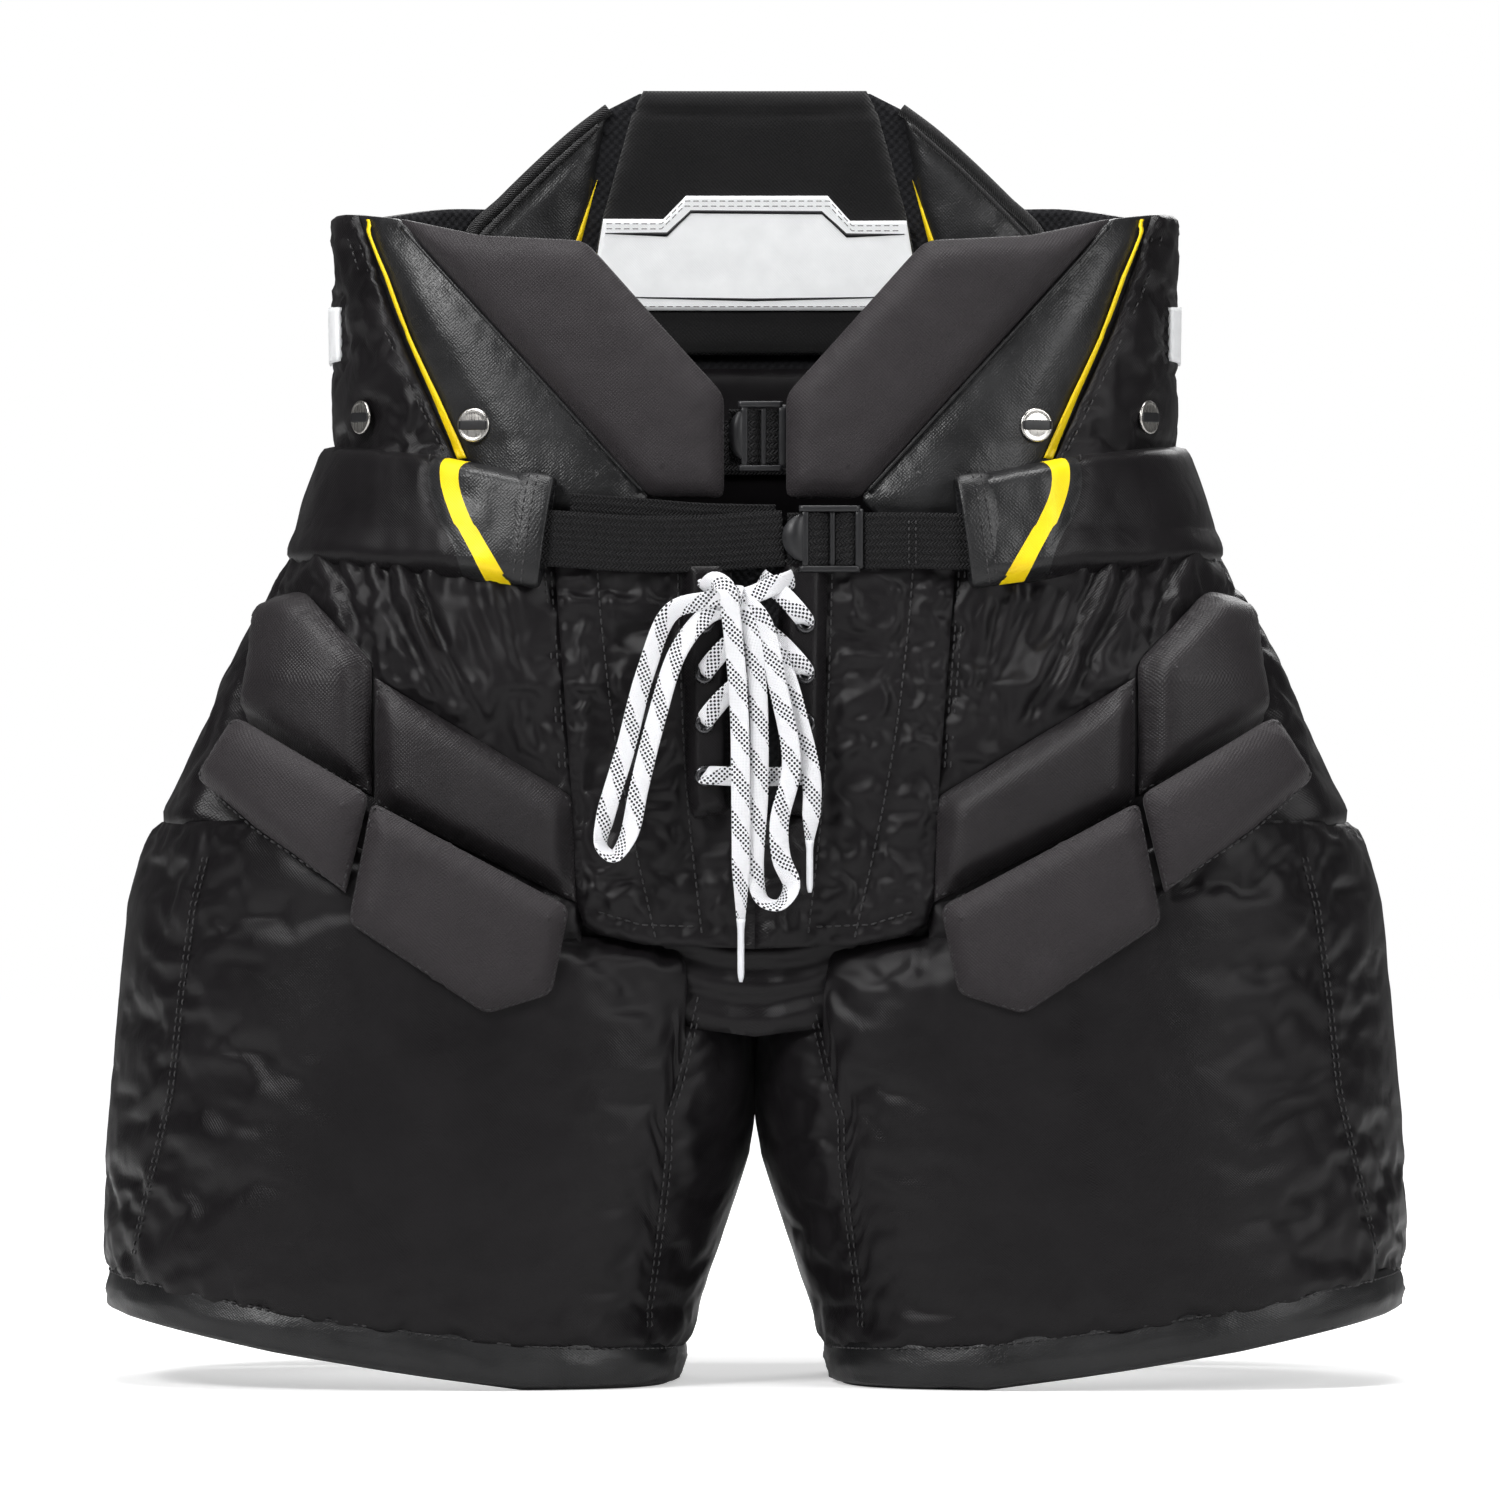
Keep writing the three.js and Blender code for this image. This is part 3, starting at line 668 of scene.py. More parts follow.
YELLOW = coated_material("yellow_trim", (0.90, 0.62, 0.004), (0.96, 0.72, 0.006), 0.45)
LABEL = coated_material("white_label", (0.86, 0.87, 0.88), (0.93, 0.94, 0.95), 0.5)
WEBBING = webbing_material()
LACE = lace_material()
NICKEL = metal_material("button_metal", (0.62, 0.60, 0.57), 0.28, 0.7)
GUNMETAL = metal_material("eyelet_metal", (0.10, 0.10, 0.105), 0.25, 0.8)
PLASTIC = plastic_material("buckle_plastic", (0.009, 0.009, 0.010), 0.42, (0.016, 0.016, 0.018))
TIP = plastic_material("aglet_plastic", (0.70, 0.71, 0.74), 0.25, (0.80, 0.81, 0.84))
FOAM = cloth_material("guard_foam", (0.035, 0.035, 0.038), (0.055, 0.055, 0.06),
                      (0.9, 1.0), 1.2, 0.12, 0.2, 0.1, 0.4)


def attach(obj, body, *nodes, bends=False):
    """Gives a finished piece its body and the CAD nodes that it stands for.
    A piece that bends, such as a leg's cloth, is baked in place instead and gets no body."""
    if bends:
        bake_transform(obj)
    else:
        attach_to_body(obj, body)
    if nodes:
        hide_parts(*nodes)
    return obj


# ---------------------------------------------------------------- lace

LACE_WIDTH = 9.5
LACE_FLATNESS = 0.16
CROSSING_Y = -137.0
KNOT = (-13.0, -142.4, 391.0)
LOOP_Y = -144.2
TAIL_Y = -140.1
EYELET_X = 25.0
EYELET_ROWS = (380.0, 355.0, 331.0, 305.0)
LOOP_RIGHT = [(-13, LOOP_Y + 1.2, 391.5), (-24, LOOP_Y + 0.3, 391), (-41, LOOP_Y, 386),
              (-54, LOOP_Y, 356), (-64, LOOP_Y, 318), (-74, LOOP_Y, 284), (-76, LOOP_Y, 270),
              (-70, LOOP_Y, 265), (-63, LOOP_Y, 274), (-57, LOOP_Y, 300), (-49, LOOP_Y, 332),
              (-38, LOOP_Y, 366), (-25, LOOP_Y + 0.3, 383), (-13, LOOP_Y + 1.4, 389)]
LOOP_LEFT = [(-12, LOOP_Y + 1.6, 393), (-4, LOOP_Y + 0.6, 384), (1, LOOP_Y, 352), (2, LOOP_Y, 300),
             (0, LOOP_Y, 256), (4, LOOP_Y, 243), (12, LOOP_Y, 241), (18, LOOP_Y, 250),
             (13, LOOP_Y, 264), (12, LOOP_Y, 282), (18, LOOP_Y, 310), (11, LOOP_Y, 350),
             (3, LOOP_Y + 0.4, 382), (-8, LOOP_Y + 1.6, 393)]
TAIL_RIGHT = [(-25, LOOP_Y + 4, 396), (-20, LOOP_Y - 2, 401), (-14, LOOP_Y - 5.2, 397),
              (-11.5, LOOP_Y - 5.4, 381), (-8, LOOP_Y - 4, 340), (-7, LOOP_Y - 4, 290),
              (-7, LOOP_Y - 4, 232)]
TAIL_LEFT = [(-1, TAIL_Y, 377), (11, TAIL_Y, 364), (22, TAIL_Y, 331), (28, TAIL_Y, 302), (27, TAIL_Y, 272)]


def curve_through(points, count):
    """A smooth line through given points (centripetal Catmull-Rom)."""
    p = np.asarray(points, float)
    p = np.vstack([2 * p[0] - p[1], p, 2 * p[-1] - p[-2]])
    knots = np.concatenate([[0], np.cumsum(np.linalg.norm(np.diff(p, axis=0), axis=1) ** 0.5)])
    out = []
    for t in np.linspace(knots[1], knots[-2], count):
        i = int(np.clip(np.searchsorted(knots, t, side="right") - 1, 1, len(p) - 3))
        t0, t1, t2, t3 = knots[i - 1:i + 3]
        a1 = (t1 - t) / (t1 - t0) * p[i - 1] + (t - t0) / (t1 - t0) * p[i]
        a2 = (t2 - t) / (t2 - t1) * p[i] + (t - t1) / (t2 - t1) * p[i + 1]
        a3 = (t3 - t) / (t3 - t2) * p[i + 1] + (t - t2) / (t3 - t2) * p[i + 2]
        b1 = (t2 - t) / (t2 - t0) * a1 + (t - t0) / (t2 - t0) * a2
        b2 = (t3 - t) / (t3 - t1) * a2 + (t - t1) / (t3 - t1) * a3
        out.append((t2 - t) / (t2 - t1) * b1 + (t - t1) / (t2 - t1) * b2)
    return np.array(out)


def ribbon(name, points, count, turn_near=None, sway=0.0, taper=None):
    """A flat lace along given points. It turns edge on near turn_near, where it folds over."""
    path = curve_through(points, count)
    share = np.linspace(0, 1, count)
    path[:, 1] += sway * np.sin(share * math.pi * 3)
    tangent = np.gradient(path, axis=0)
    inward = np.cross(tangent, [0.0, 1.0, 0.0])
    inward /= np.maximum(np.linalg.norm(inward, axis=1)[:, None], 1e-6)
    roll = 0.25 * np.sin(share * 9.0)
    if turn_near is not None:
        near = np.exp(-(np.linalg.norm(path - np.array(turn_near), axis=1) / 16.0) ** 2)
        roll = roll + near * 1.15
    normal = np.cos(roll)[:, None] * np.array([0.0, -1.0, 0.0]) + np.sin(roll)[:, None] * inward
    obj = tube(name, path, LACE_WIDTH / 2, LACE, around=14, flat=LACE_FLATNESS, normal=normal, taper=taper)
    return obj, path


def free_lace(name, points, count, turn_near=None, sway=0.0, taper=None):
    obj, path = ribbon(name, points, count, turn_near, sway, taper)
    attach(obj, "waist", name)
    line = path * MM
    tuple(line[0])
    return obj


def aglet(name, top, bottom):
    """The clear tip crimped on a lace: slim, round, with a rolled-in end."""
    path = np.linspace(top, bottom, 14)
    shape = [1.35, 1.2, 1.05, 1, 1, 1, 1, 1, 1, 1, 1, 0.98, 0.85, 0.5]
    obj = tube(name, path, 1.7, TIP, around=16, taper=shape)
    return attach(obj, "waist", name)


def make_lace():
    tip_right = aglet("aglet_right", (-7, LOOP_Y - 4, 234), (-7, LOOP_Y - 4, 203))
    tip_left = aglet("aglet_left", (27, TAIL_Y, 273), (27, TAIL_Y, 247))
    free_lace("lace_loop_right", LOOP_RIGHT, 90, turn_near=(-73, LOOP_Y, 268), sway=0.8)
    free_lace("lace_loop_left", LOOP_LEFT, 96, turn_near=(10, LOOP_Y, 242), sway=-0.8)
    narrow = np.interp(np.linspace(0, 1, 80), [0, 0.88, 1], [1, 1, 0.42])
    free_lace("lace_tail_right", TAIL_RIGHT, 80, taper=narrow)
    free_lace("lace_tail_left", TAIL_LEFT, 80, taper=narrow)
    for name, side, row in (("right_2", -1, 1), ("right_3", -1, 2), ("left_1", 1, 0), ("left_2", 1, 1)):
        z = EYELET_ROWS[row]
        points = [(side * 25.6, CROSSING_Y + 8, z - 1.5), (side * 24.6, CROSSING_Y + 1.5, z + 1.5),
                  (side * 15, CROSSING_Y + 0.4, z + 13), (side * 8, CROSSING_Y + 3, z + 19),
                  (side * 3, -126, z + 23)]
        into = np.interp(np.linspace(0, 1, 34), [0, 0.2, 1], [0.42, 1, 1])
        node = f"lace_cross_{name}"
        attach(ribbon(node, points, 34, taper=into)[0], "waist", node)
    bar = [(-26, CROSSING_Y + 8, 305), (-23.5, CROSSING_Y + 1, 305), (0, CROSSING_Y, 304.2),
           (23.5, CROSSING_Y + 1, 305), (26, CROSSING_Y + 8, 305)]
    both = np.interp(np.linspace(0, 1, 44), [0, 0.1, 0.9, 1], [0.42, 1, 1, 0.42])
    attach(ribbon("lace_bar", bar, 44, taper=both)[0], "waist", "lace_bar")
    make_knot()


def make_knot():
    """A wrap over a pinched core, and the two strands that run up behind the strap."""
    x, y, z = KNOT
    core = [(x - 11, y, z + 2), (x - 3, y - 2.5, z + 1), (x + 5, y - 2, z), (x + 12, y + 1, z - 3)]
    knot, _ = ribbon("lace_knot", core, 30)
    turn = np.linspace(0, 2 * math.pi, 40, endpoint=False)
    wrap = np.stack([x + 1.2 * np.sin(turn) + 1.5, y - 0.5 + 4.4 * np.cos(turn),
                     z + 7.2 * np.sin(turn)], -1)
    facing = np.stack([0 * turn, np.cos(turn), 1.2 * np.sin(turn)], -1)
    over = tube("lace_knot_wrap", wrap, LACE_WIDTH / 2, LACE, around=14, closed=True,
                flat=LACE_FLATNESS, normal=facing)
    rise = [(x + 2, y, z + 1), (-2, y + 1, 394), (10, y + 4, 399), (17, y + 9, 401.5),
            (23, y + 18.5, 405), (26, y + 21.5, 412)]
    strand, _ = ribbon("lace_knot_strand", rise, 34)
    left = [(x - 4, y + 1, z + 4), (-19, y + 4, 398), (-23, y + 9, 401.5), (-26, y + 18.5, 405),
            (-28, y + 21.5, 412)]
    other, _ = ribbon("lace_knot_end", left, 26)
    attach(knot, "waist", "lace_knot")
    for piece in (over, strand, other):
        attach(piece, "waist")


make_lace()


# ---------------------------------------------------------------- soft pieces

def smooth_step(t):
    t = np.clip(t, 0, 1)
    return t * t * (3 - 2 * t)


def pillow(edge, flange, bevel, low, high, crown=0.0):
    """Lift of a foam pad: a sewn flange at low, a round shoulder, then a slightly crowned top."""
    t = np.clip((edge - flange) / bevel, 0, 1)
    shoulder = np.sqrt(1 - (1 - t) ** 2.3)
    return low + (high - low) * shoulder + crown * (1 - np.exp(-np.maximum(edge - flange, 0) / 30.0)) * t


def relax(patch, times, hold=0.4):
    """Averages each point's lift with its neighbours', so that corners and mitres go soft."""
    pairs = np.vstack([patch.cells[:, [0, 1]], patch.cells[:, [1, 2]], patch.cells[:, [2, 0]]])
    pairs = np.unique(np.sort(pairs, axis=1), axis=0)
    pairs = np.vstack([pairs, pairs[:, ::-1]])
    count = np.bincount(pairs[:, 0], minlength=len(patch.lift))
    free = patch.edge > hold
    for _ in range(times):
        mean = np.bincount(pairs[:, 0], patch.lift[pairs[:, 1]], len(patch.lift)) / np.maximum(count, 1)
        patch.lift = np.where(free, (patch.lift + mean) / 2, patch.lift)


def smooth_line(points, count=24):
    """A front-view line through (x, z) points without corners."""
    return [(x, z) for x, z, _ in curve_through([(x, z, 0) for x, z in points], count)]


class Thread:
    """Collects stitches on each body and sews each body's lot as one mesh."""

    LENGTH, GAP, RADIUS = 3.0, 1.5, 0.42

    def __init__(self):
        self.rows = {}

    def sew(self, body, form, line, lift, side=1, closed=False, length=None, radius=None):
        """Stitches along a (u, z) line lying on a form at one lift."""
        points = np.array(resample(line, 1.0, closed))
        if closed:
            points = np.vstack([points, points[:1]])
        world = mirrored(form.surface(points, lift), side)
        self.along(body, world, mirrored(form.normal(points), side), length, radius)

    def along(self, body, world, normal, length=None, radius=None):
        length, radius = length or self.LENGTH, radius or self.RADIUS
        reach = np.concatenate([[0], np.cumsum(np.linalg.norm(np.diff(world, axis=0), axis=1))])
        for start in np.arange(0.5, reach[-1] - length, length + self.GAP):
            at = start + length * np.array([0.0, 0.18, 0.5, 0.82, 1.0])
            core = np.stack([np.interp(at, reach, world[:, k]) for k in range(3)], -1)
            up = np.stack([np.interp(at, reach, normal[:, k]) for k in range(3)], -1)
            core = core + up * np.array([-0.3, 0.15, 0.3, 0.15, -0.3])[:, None]
            self.rows.setdefault(body, []).append((core, up, radius))

    def make(self):
        turn = np.arange(6) * math.pi / 3
        dash_faces = ring_faces(5, 6)
        for body, dashes in self.rows.items():
            points, faces = [], []
            for core, up, radius in dashes:
                along = core[-1] - core[0]
                along = along / max(np.linalg.norm(along), 1e-6)
                across = np.cross(along, up)
                start = 30 * len(points)
                sizes = radius * np.array([0.35, 0.9, 1.0, 0.9, 0.35])
                ring = core[:, None] + sizes[:, None, None] * (
                    across[:, None] * np.cos(turn)[None, :, None] + up[:, None] * np.sin(turn)[None, :, None])
                points.append(ring.reshape(-1, 3))
                faces += [[start + v for v in face] for face in dash_faces]
            everything = np.vstack(points)
            obj = new_object("stitches_" + body, everything, faces, everything[:, [0, 2]], [THREAD])
            attach(obj, body, bends=body.startswith("leg"))


THREADS = Thread()


CORNER = 5.0
ACUTE = 0.3


def rounded(outline, radius):
    """The outline with each corner turned into a short curve, apart from acute ones."""
    points = [np.array(p, float) for p in outline]
    curve = []
    for before, corner, after in zip(points[-1:] + points[:-1], points, points[1:] + points[:1]):
        back, ahead = before - corner, after - corner
        reach_back, reach_ahead = np.linalg.norm(back), np.linalg.norm(ahead)
        if np.dot(back, ahead) > ACUTE * reach_back * reach_ahead:
            curve.append(tuple(corner))
            continue
        a = corner + back * min(radius / reach_back, 0.4)
        b = corner + ahead * min(radius / reach_ahead, 0.4)
        curve += [tuple((1 - t) ** 2 * a + 2 * t * (1 - t) * corner + t * t * b) for t in (0, 0.33, 0.67, 1)]
    return curve


def foam_piece(name, body, form, outline, side, low, high, back, flange, bevel, crown,
               material=PAD, spacing=2.4, seed=1, stitched=True, ripple=0.35):
    """A foam pad in cloth on a form, drawn by its front-view outline on the +X side."""
    outline = rounded(outline, CORNER)
    guides = [resample(inset(form.corners(outline), d), spacing, True) for d in (flange, flange + bevel)]
    guides = [g + [g[0]] for g in guides]
    patch = Patch(form, form.region(outline), spacing, guides=guides, side=side)
    patch.lift = pillow(patch.edge, flange, bevel, low, high, crown)
    noise = Noise(seed)
    relax(patch, 6)
    soft = smooth_step((patch.edge - flange) / bevel)
    patch.lift += ripple * soft * noise.at(patch.uv[:, 0] / 17, patch.uv[:, 1] / 17, 2)
    obj = patch.close(name, back, [material, NYLON])
    attach(obj, body, name)
    if stitched:
        seam = inset(form.corners(outline), flange * 0.6)
        THREADS.sew(body, form, seam, low + 0.5, side, closed=True)


HIP_PAD = [(190, 361), (224, 396), (240, 393), (253, 331), (190, 295)]
THIGH_PAD = [(188, 353), (90, 294), (88.5, 242), (188, 290)]
SIDE_FLAP = [(190, 295), (252, 332), (271, 301), (201.4, 247)]
THIGH_FLAP = [(188.4, 291.5), (92.5, 240), (101, 197), (133, 187), (200, 232)]
FRONT_FLAP = [(180, 583), (138, 574), (86, 571), (78, 563), (15.5, 494), (15.5, 443), (52, 443)]
LEATHER_WEDGE = [(180, 583), (202, 586), (178.5, 523), (150, 462), (136, 425), (70, 425), (52, 443)]


# Each pad's name, form, outline and make-up. The lifts off the form are low at the sewn flange, high
# at the top of the shoulder and back behind; flange and bevel are widths, and crown is extra height.
PADS = [
    ("hip_pad", TORSO, HIP_PAD, dict(low=2.6, high=14.5, back=0.4, flange=2.6, bevel=12, crown=2.6,
                                     material=SHELL_PAD)),
    ("thigh_pad", TORSO, THIGH_PAD, dict(low=2.6, high=13.5, back=0.4, flange=2.6, bevel=12, crown=2.6,
                                         material=SHELL_PAD)),
    ("side_flap", LEG, SIDE_FLAP, dict(low=9.9, high=16.5, back=6, flange=2.0, bevel=8, crown=1.2)),
    ("thigh_flap", LEG, THIGH_FLAP, dict(low=9.4, high=16.5, back=4, flange=2.0, bevel=8, crown=1.2)),
    ("front_flap", TORSO, FRONT_FLAP, dict(low=-3.8, high=4.6, back=-9, flange=0.8, bevel=13, crown=2.6,
                                           stitched=False, ripple=0.5)),
    ("waist_leather", TORSO, LEATHER_WEDGE, dict(low=-3.5, high=1.2, back=-8, flange=4.5, bevel=26,
                                                 crown=3.4, material=LEATHER, stitched=False,
                                                 ripple=0.4)),
]


def make_pads(name, side):
    first_seed = 10 if side > 0 else 40
    for seed, (kind, form, outline, makeup) in enumerate(PADS, first_seed):
        piece = f"{kind}_{name}"
        body = piece if kind.endswith("flap") else "waist"
        foam_piece(piece, body, form, outline, side, seed=seed, **makeup)
    seam = TORSO.from_front([(178, 579), (56, 446)], 3)
    piping = mirrored(TORSO.surface(seam, -2.4), side)
    attach(tube(f"flap_piping_{name}", piping, 1.0, LEATHER), "waist")
    THREADS.sew("waist", TORSO, TORSO.corners([(180.5, 577), (60, 447)]), -3.1, side)
    THREADS.sew("waist", TORSO, TORSO.corners([(202, 583), (180.8, 523), (152.5, 463)]), -0.6, side)


for side_name, side in SIDES.items():
    make_pads(side_name, side)


# ---------------------------------------------------------------- nylon panels

CLOTH_FRAMES = 16
CLOTH = []
PINNED_EDGE = 1.4
MOST_SLIDE = 3.0
MOST_SINK = 1.5
LINING = -8.0
THIN_LINING = -6.0
LEAST_THICKNESS = 4.0
SMALL_GATHERS = dict(depth=1.1, pitch=7.0, reach=12.0)
WIDE_GATHERS = dict(depth=0.8, pitch=15.0, reach=60.0)


class Panel:
    """A nylon skin held along its seams, waiting to be blown into shape and closed. It starts at the
    lift base and may stand cap further out; growth is how much cloth it has to spare."""

    def __init__(self, name, body, patch, cap, growth, seed, base=0.0, held=None, pressure=4.0):
        self.name, self.body, self.patch, self.cap = name, body, patch, cap
        self.growth, self.pressure, self.seed = growth, pressure, seed
        patch.lift += base
        self.pinned = patch.seam() < PINNED_EDGE
        if held is not None:
            self.pinned |= held(patch.uv)
        CLOTH.append(self)


def cloth_object(panel):
    patch = panel.patch
    noise = Noise(panel.seed + 100)
    start = patch.lift.copy()
    free = smooth_step(patch.seam() / 12)
    start += free * (0.8 + 0.8 * noise.at(patch.uv[:, 0] / 14, patch.uv[:, 1] / 14, 2))
    points = patch.world(patch.form.surface(patch.uv, start))
    obj = new_object("cloth_" + panel.name, points, patch.faces())
    group = obj.vertex_groups.new(name="pin")
    group.add(np.nonzero(panel.pinned)[0].tolist(), 1.0, "REPLACE")
    cloth = obj.modifiers.new("cloth", "CLOTH").settings
    cloth.quality = 4
    cloth.mass = 0.12
    cloth.tension_stiffness = cloth.compression_stiffness = 12
    cloth.shear_stiffness = 6
    cloth.bending_stiffness = 0.08
    cloth.vertex_group_mass = "pin"
    cloth.shrink_min = -panel.growth
    cloth.use_pressure = True
    cloth.uniform_pressure_force = panel.pressure
    cloth.effector_weights.gravity = 0
    obj.modifiers["cloth"].point_cache.frame_end = CLOTH_FRAMES + 1
    return obj


def read_points(obj, graph):
    mesh = obj.evaluated_get(graph).data
    points = np.zeros(len(mesh.vertices) * 3, np.float32)
    mesh.vertices.foreach_get("co", points)
    return points.reshape(-1, 3).astype(float) / MM


def simulate(panels):
    """Steps every panel's cloth together, then keeps how far each point moved."""
    objects = [cloth_object(panel) for panel in panels]
    for step in range(1, CLOTH_FRAMES + 1):
        bpy.context.scene.frame_set(step)
    graph = bpy.context.evaluated_depsgraph_get()
    moved = [read_points(obj, graph) for obj in objects]
    bpy.context.scene.frame_set(1)
    for obj in objects:
        mesh = obj.data
        bpy.data.objects.remove(obj)
        bpy.data.meshes.remove(mesh)
    for panel, points in zip(panels, moved):
        patch = panel.patch
        plain = patch.form.surface(patch.uv, patch.lift)
        slide = patch.world(points) - plain
        normal = patch.form.normal(patch.uv)
        out = np.einsum("ij,ij->i", slide, normal)
        kept = panel.cap * np.tanh(np.maximum(out, 0) / panel.cap)
        kept = kept - MOST_SINK * np.tanh(np.maximum(-out, 0) / MOST_SINK)
        along = slide - out[:, None] * normal
        reach = np.linalg.norm(along, axis=1)
        along *= (MOST_SLIDE * np.tanh(reach / MOST_SLIDE) / np.maximum(reach, 1e-6))[:, None]
        patch.slide = along + kept[:, None] * normal
        print("cloth", panel.name, "points", len(points), "out", round(float(out.max()), 1))


def pucker(patch, seed, depth, pitch, reach):
    """Short gathers that run off every seam and crease."""
    u, z = patch.uv.T
    gather = Noise(seed).at((u + z * 0.35) / pitch, (z - u * 0.2) / pitch, 2)
    d = patch.seam()
    patch.lift = patch.lift + depth * gather * smooth_step(d / 3) * np.exp(-d / reach)


HIP_TOP, HIP_LOW = 424.6, 200.0
BACK_Y = 40.0
FLY_EDGE = [(98, 424.6), (96.5, 398), (89, 295), (86.5, 242), (86, 200)]
FLY_CREASES = [[(38.5, 423), (37.5, 380), (34, 300), (26, 223)],
               [(79, 423), (76, 380), (69.5, 325), (61.5, 280), (49, 223)]]
HIP_CREASES = [HIP_PAD + HIP_PAD[:1], THIGH_PAD + THIGH_PAD[:1],
               [(190, 361), (193, 392), (197, 423)]]
# Each fold is a line down from the belt, and its depth.
HIP_FOLDS = [([(169.5, 412), (158, 378), (146, 350), (134, 331)], 3.0),
             ([(183, 412), (180, 392), (166, 362), (156, 344)], 2.2),
             ([(124, 400), (116, 360), (108, 330), (104, 318)], 1.8),
             ([(212, 418), (203, 398), (199, 382), (197, 371)], 2.4),
             ([(140, 412), (133, 385), (124, 360), (118, 342)], 1.4)]


def make_hips(name, side):
    seed = 200 if side > 0 else 300
    outline = TORSO.from_front(FLY_EDGE)
    end = TORSO.u_of_y(BACK_Y, HIP_LOW)
    outline += [(u, HIP_LOW) for u in np.arange(outline[-1][0] + 8, end - 6, 8)]
    outline += TORSO.along_y(BACK_Y, HIP_LOW, HIP_TOP)
    creases = [TORSO.from_front(c) for c in HIP_CREASES]
    pads = [TORSO.corners(pad) for pad in (HIP_PAD, THIGH_PAD)]
    hip = Patch(TORSO, outline, 3.4, creases, side)
    Panel(f"hip_shell_{name}", "waist", hip, cap=6.5, growth=0.07, seed=seed, pressure=7.0,
          held=lambda uv: inside_polygon(uv, pads[0]) | inside_polygon(uv, pads[1]))

    side_edge = [(x + 1.8, z) for x, z in FLY_EDGE[:-1]]
    fly_line = [(11.5, 424)] + side_edge + [(85, 231), (78, 226), (55, 221), (0, 219), (0, 278),
                                            (11.5, 290)]
    creases = [TORSO.from_front(smooth_line(line)) for line in FLY_CREASES]
    creases += [TORSO.from_front([(30, 230), (57, 231), (80, 238)])]
    fly = Patch(TORSO, TORSO.region(fly_line), 3.0, creases, side)
    Panel(f"fly_{name}", "waist", fly, cap=6.5, growth=0.09, seed=seed + 1, base=3.2, pressure=14.0,
          held=lambda uv: uv[:, 1] > 404)
    for crease in creases:
        THREADS.sew("waist", TORSO, crease, 3.5, side)
    for shift in (4.0, 7.0):
        row = [(x + shift, z) for x, z in smooth_line(FLY_EDGE) if 300 < z < 408]
        THREADS.sew("waist", TORSO, TORSO.from_front(row), 1.1, side)

    top = TORSO.corners([(202, 586)])
    end = TORSO.u_of_y(BACK_Y, 588)
    top += [(u, 586.5 + 1.5 * (u - top[0][0]) / end) for u in np.arange(top[0][0] + 8, end - 6, 8)]
    outline = top + TORSO.along_y(BACK_Y, 588, 425)
    start, end = TORSO.u_of_y(BACK_Y, 425) - 8, TORSO.u_of_x(136, 425) + 4
    outline += [(u, 425) for u in np.arange(start, end, -8)]
    outline += TORSO.from_front([(136, 425), (150, 462), (178.5, 523), (202, 586)])[:-1]
    sidewall = Patch(TORSO, outline, 3.4, [], side)
    near, far = TORSO.u_of_x(205.6, 526) - 1, TORSO.u_of_y(17, 526)
    under_tag = [(near, 508), (near, 545), (far, 545), (far, 508)]
    sidewall.lift += 1.8 * inside_polygon(sidewall.uv, under_tag)
    Panel(f"waist_side_{name}", "waist", sidewall, cap=4.5, growth=0.04, seed=seed + 2,
          held=lambda uv: (uv[:, 1] < 430) | inside_polygon(uv, under_tag))
    THREADS.sew("waist", TORSO, TORSO.corners([(205.5, 583), (182.5, 523), (154, 464)]), 1.0, side)


def back_outline(z_top, z_low, rise=0.0):
    """A panel round the back between the two side seams. Its top rises towards the middle."""
    y = BACK_Y + 0.4
    line = TORSO_BACK.along_y(y, z_top, z_low, -1)
    low_end, top_start = TORSO_BACK.u_of_y(y, z_low, 1), TORSO_BACK.u_of_y(y, z_top, 1)
    line += [(u, z_low) for u in np.arange(line[-1][0] - 8, low_end + 4, -8)]
    line += TORSO_BACK.along_y(y, z_low, z_top, 1)
    line += [(u, z_top + rise * smooth_step((abs(top_start) - abs(u)) / 70))
             for u in np.arange(top_start + 8, line[0][0] - 4, 8)]
    return line


def make_back():
    seat_lines = [resample(line, 6) for line in ([(0, 423), (0, 201)], [(-300, 330), (300, 330)])]
    seat = Patch(TORSO_BACK, back_outline(HIP_TOP - 0.4, HIP_LOW), 4.2, seat_lines)
    Panel("seat_panel", "waist", seat, cap=7.0, growth=0.05, seed=401)
    lines = [[(-120, 592), (-96, 427)], [(120, 592), (96, 427)], [(-96, 500), (96, 500)]]
    lines = [resample(line, 6) for line in lines]
    waist = Patch(TORSO_BACK, back_outline(588, 425.4, 7.0), 4.0, lines)
    Panel("waist_back", "waist", waist, cap=6.0, growth=0.045, seed=402)
    for line in seat_lines + lines:
        upright = abs(line[0][0] - line[-1][0]) < 60
        for shift in (-1.8, 1.8):
            moved = [(u + shift * upright, z + shift * (not upright)) for u, z in line]
            THREADS.sew("waist", TORSO_BACK, moved, 0.6)


# ---------------------------------------------------------------- legs

HEM_TOP = [(0, 20), (110, 24), (171, 31), (240, 42), (325, 58), (380, 60)]
HEM_BOTTOM = [(0, 0.2), (112, 0.2), (171, 8), (240, 19), (325, 36), (380, 44)]
LEG_TOP = [(0, 224), (96, 224), (133, 228), (187, 256), (201, 260), (230, 272), (250, 282),
           (270, 283), (380, 279)]
SIDE_SEAM = [(310, 40), (310, 65), (291, 145), (285, 198), (272, 268), (268, 300)]
INNER_SEAM = [(54, 20), (53, 30), (43, 135), (27, 198), (24, 230)]
LEG_INSIDE_TOP = 190.0


def follow(line, points):
    xs, zs = zip(*line)
    return np.interp(points[:, 0], xs, zs)


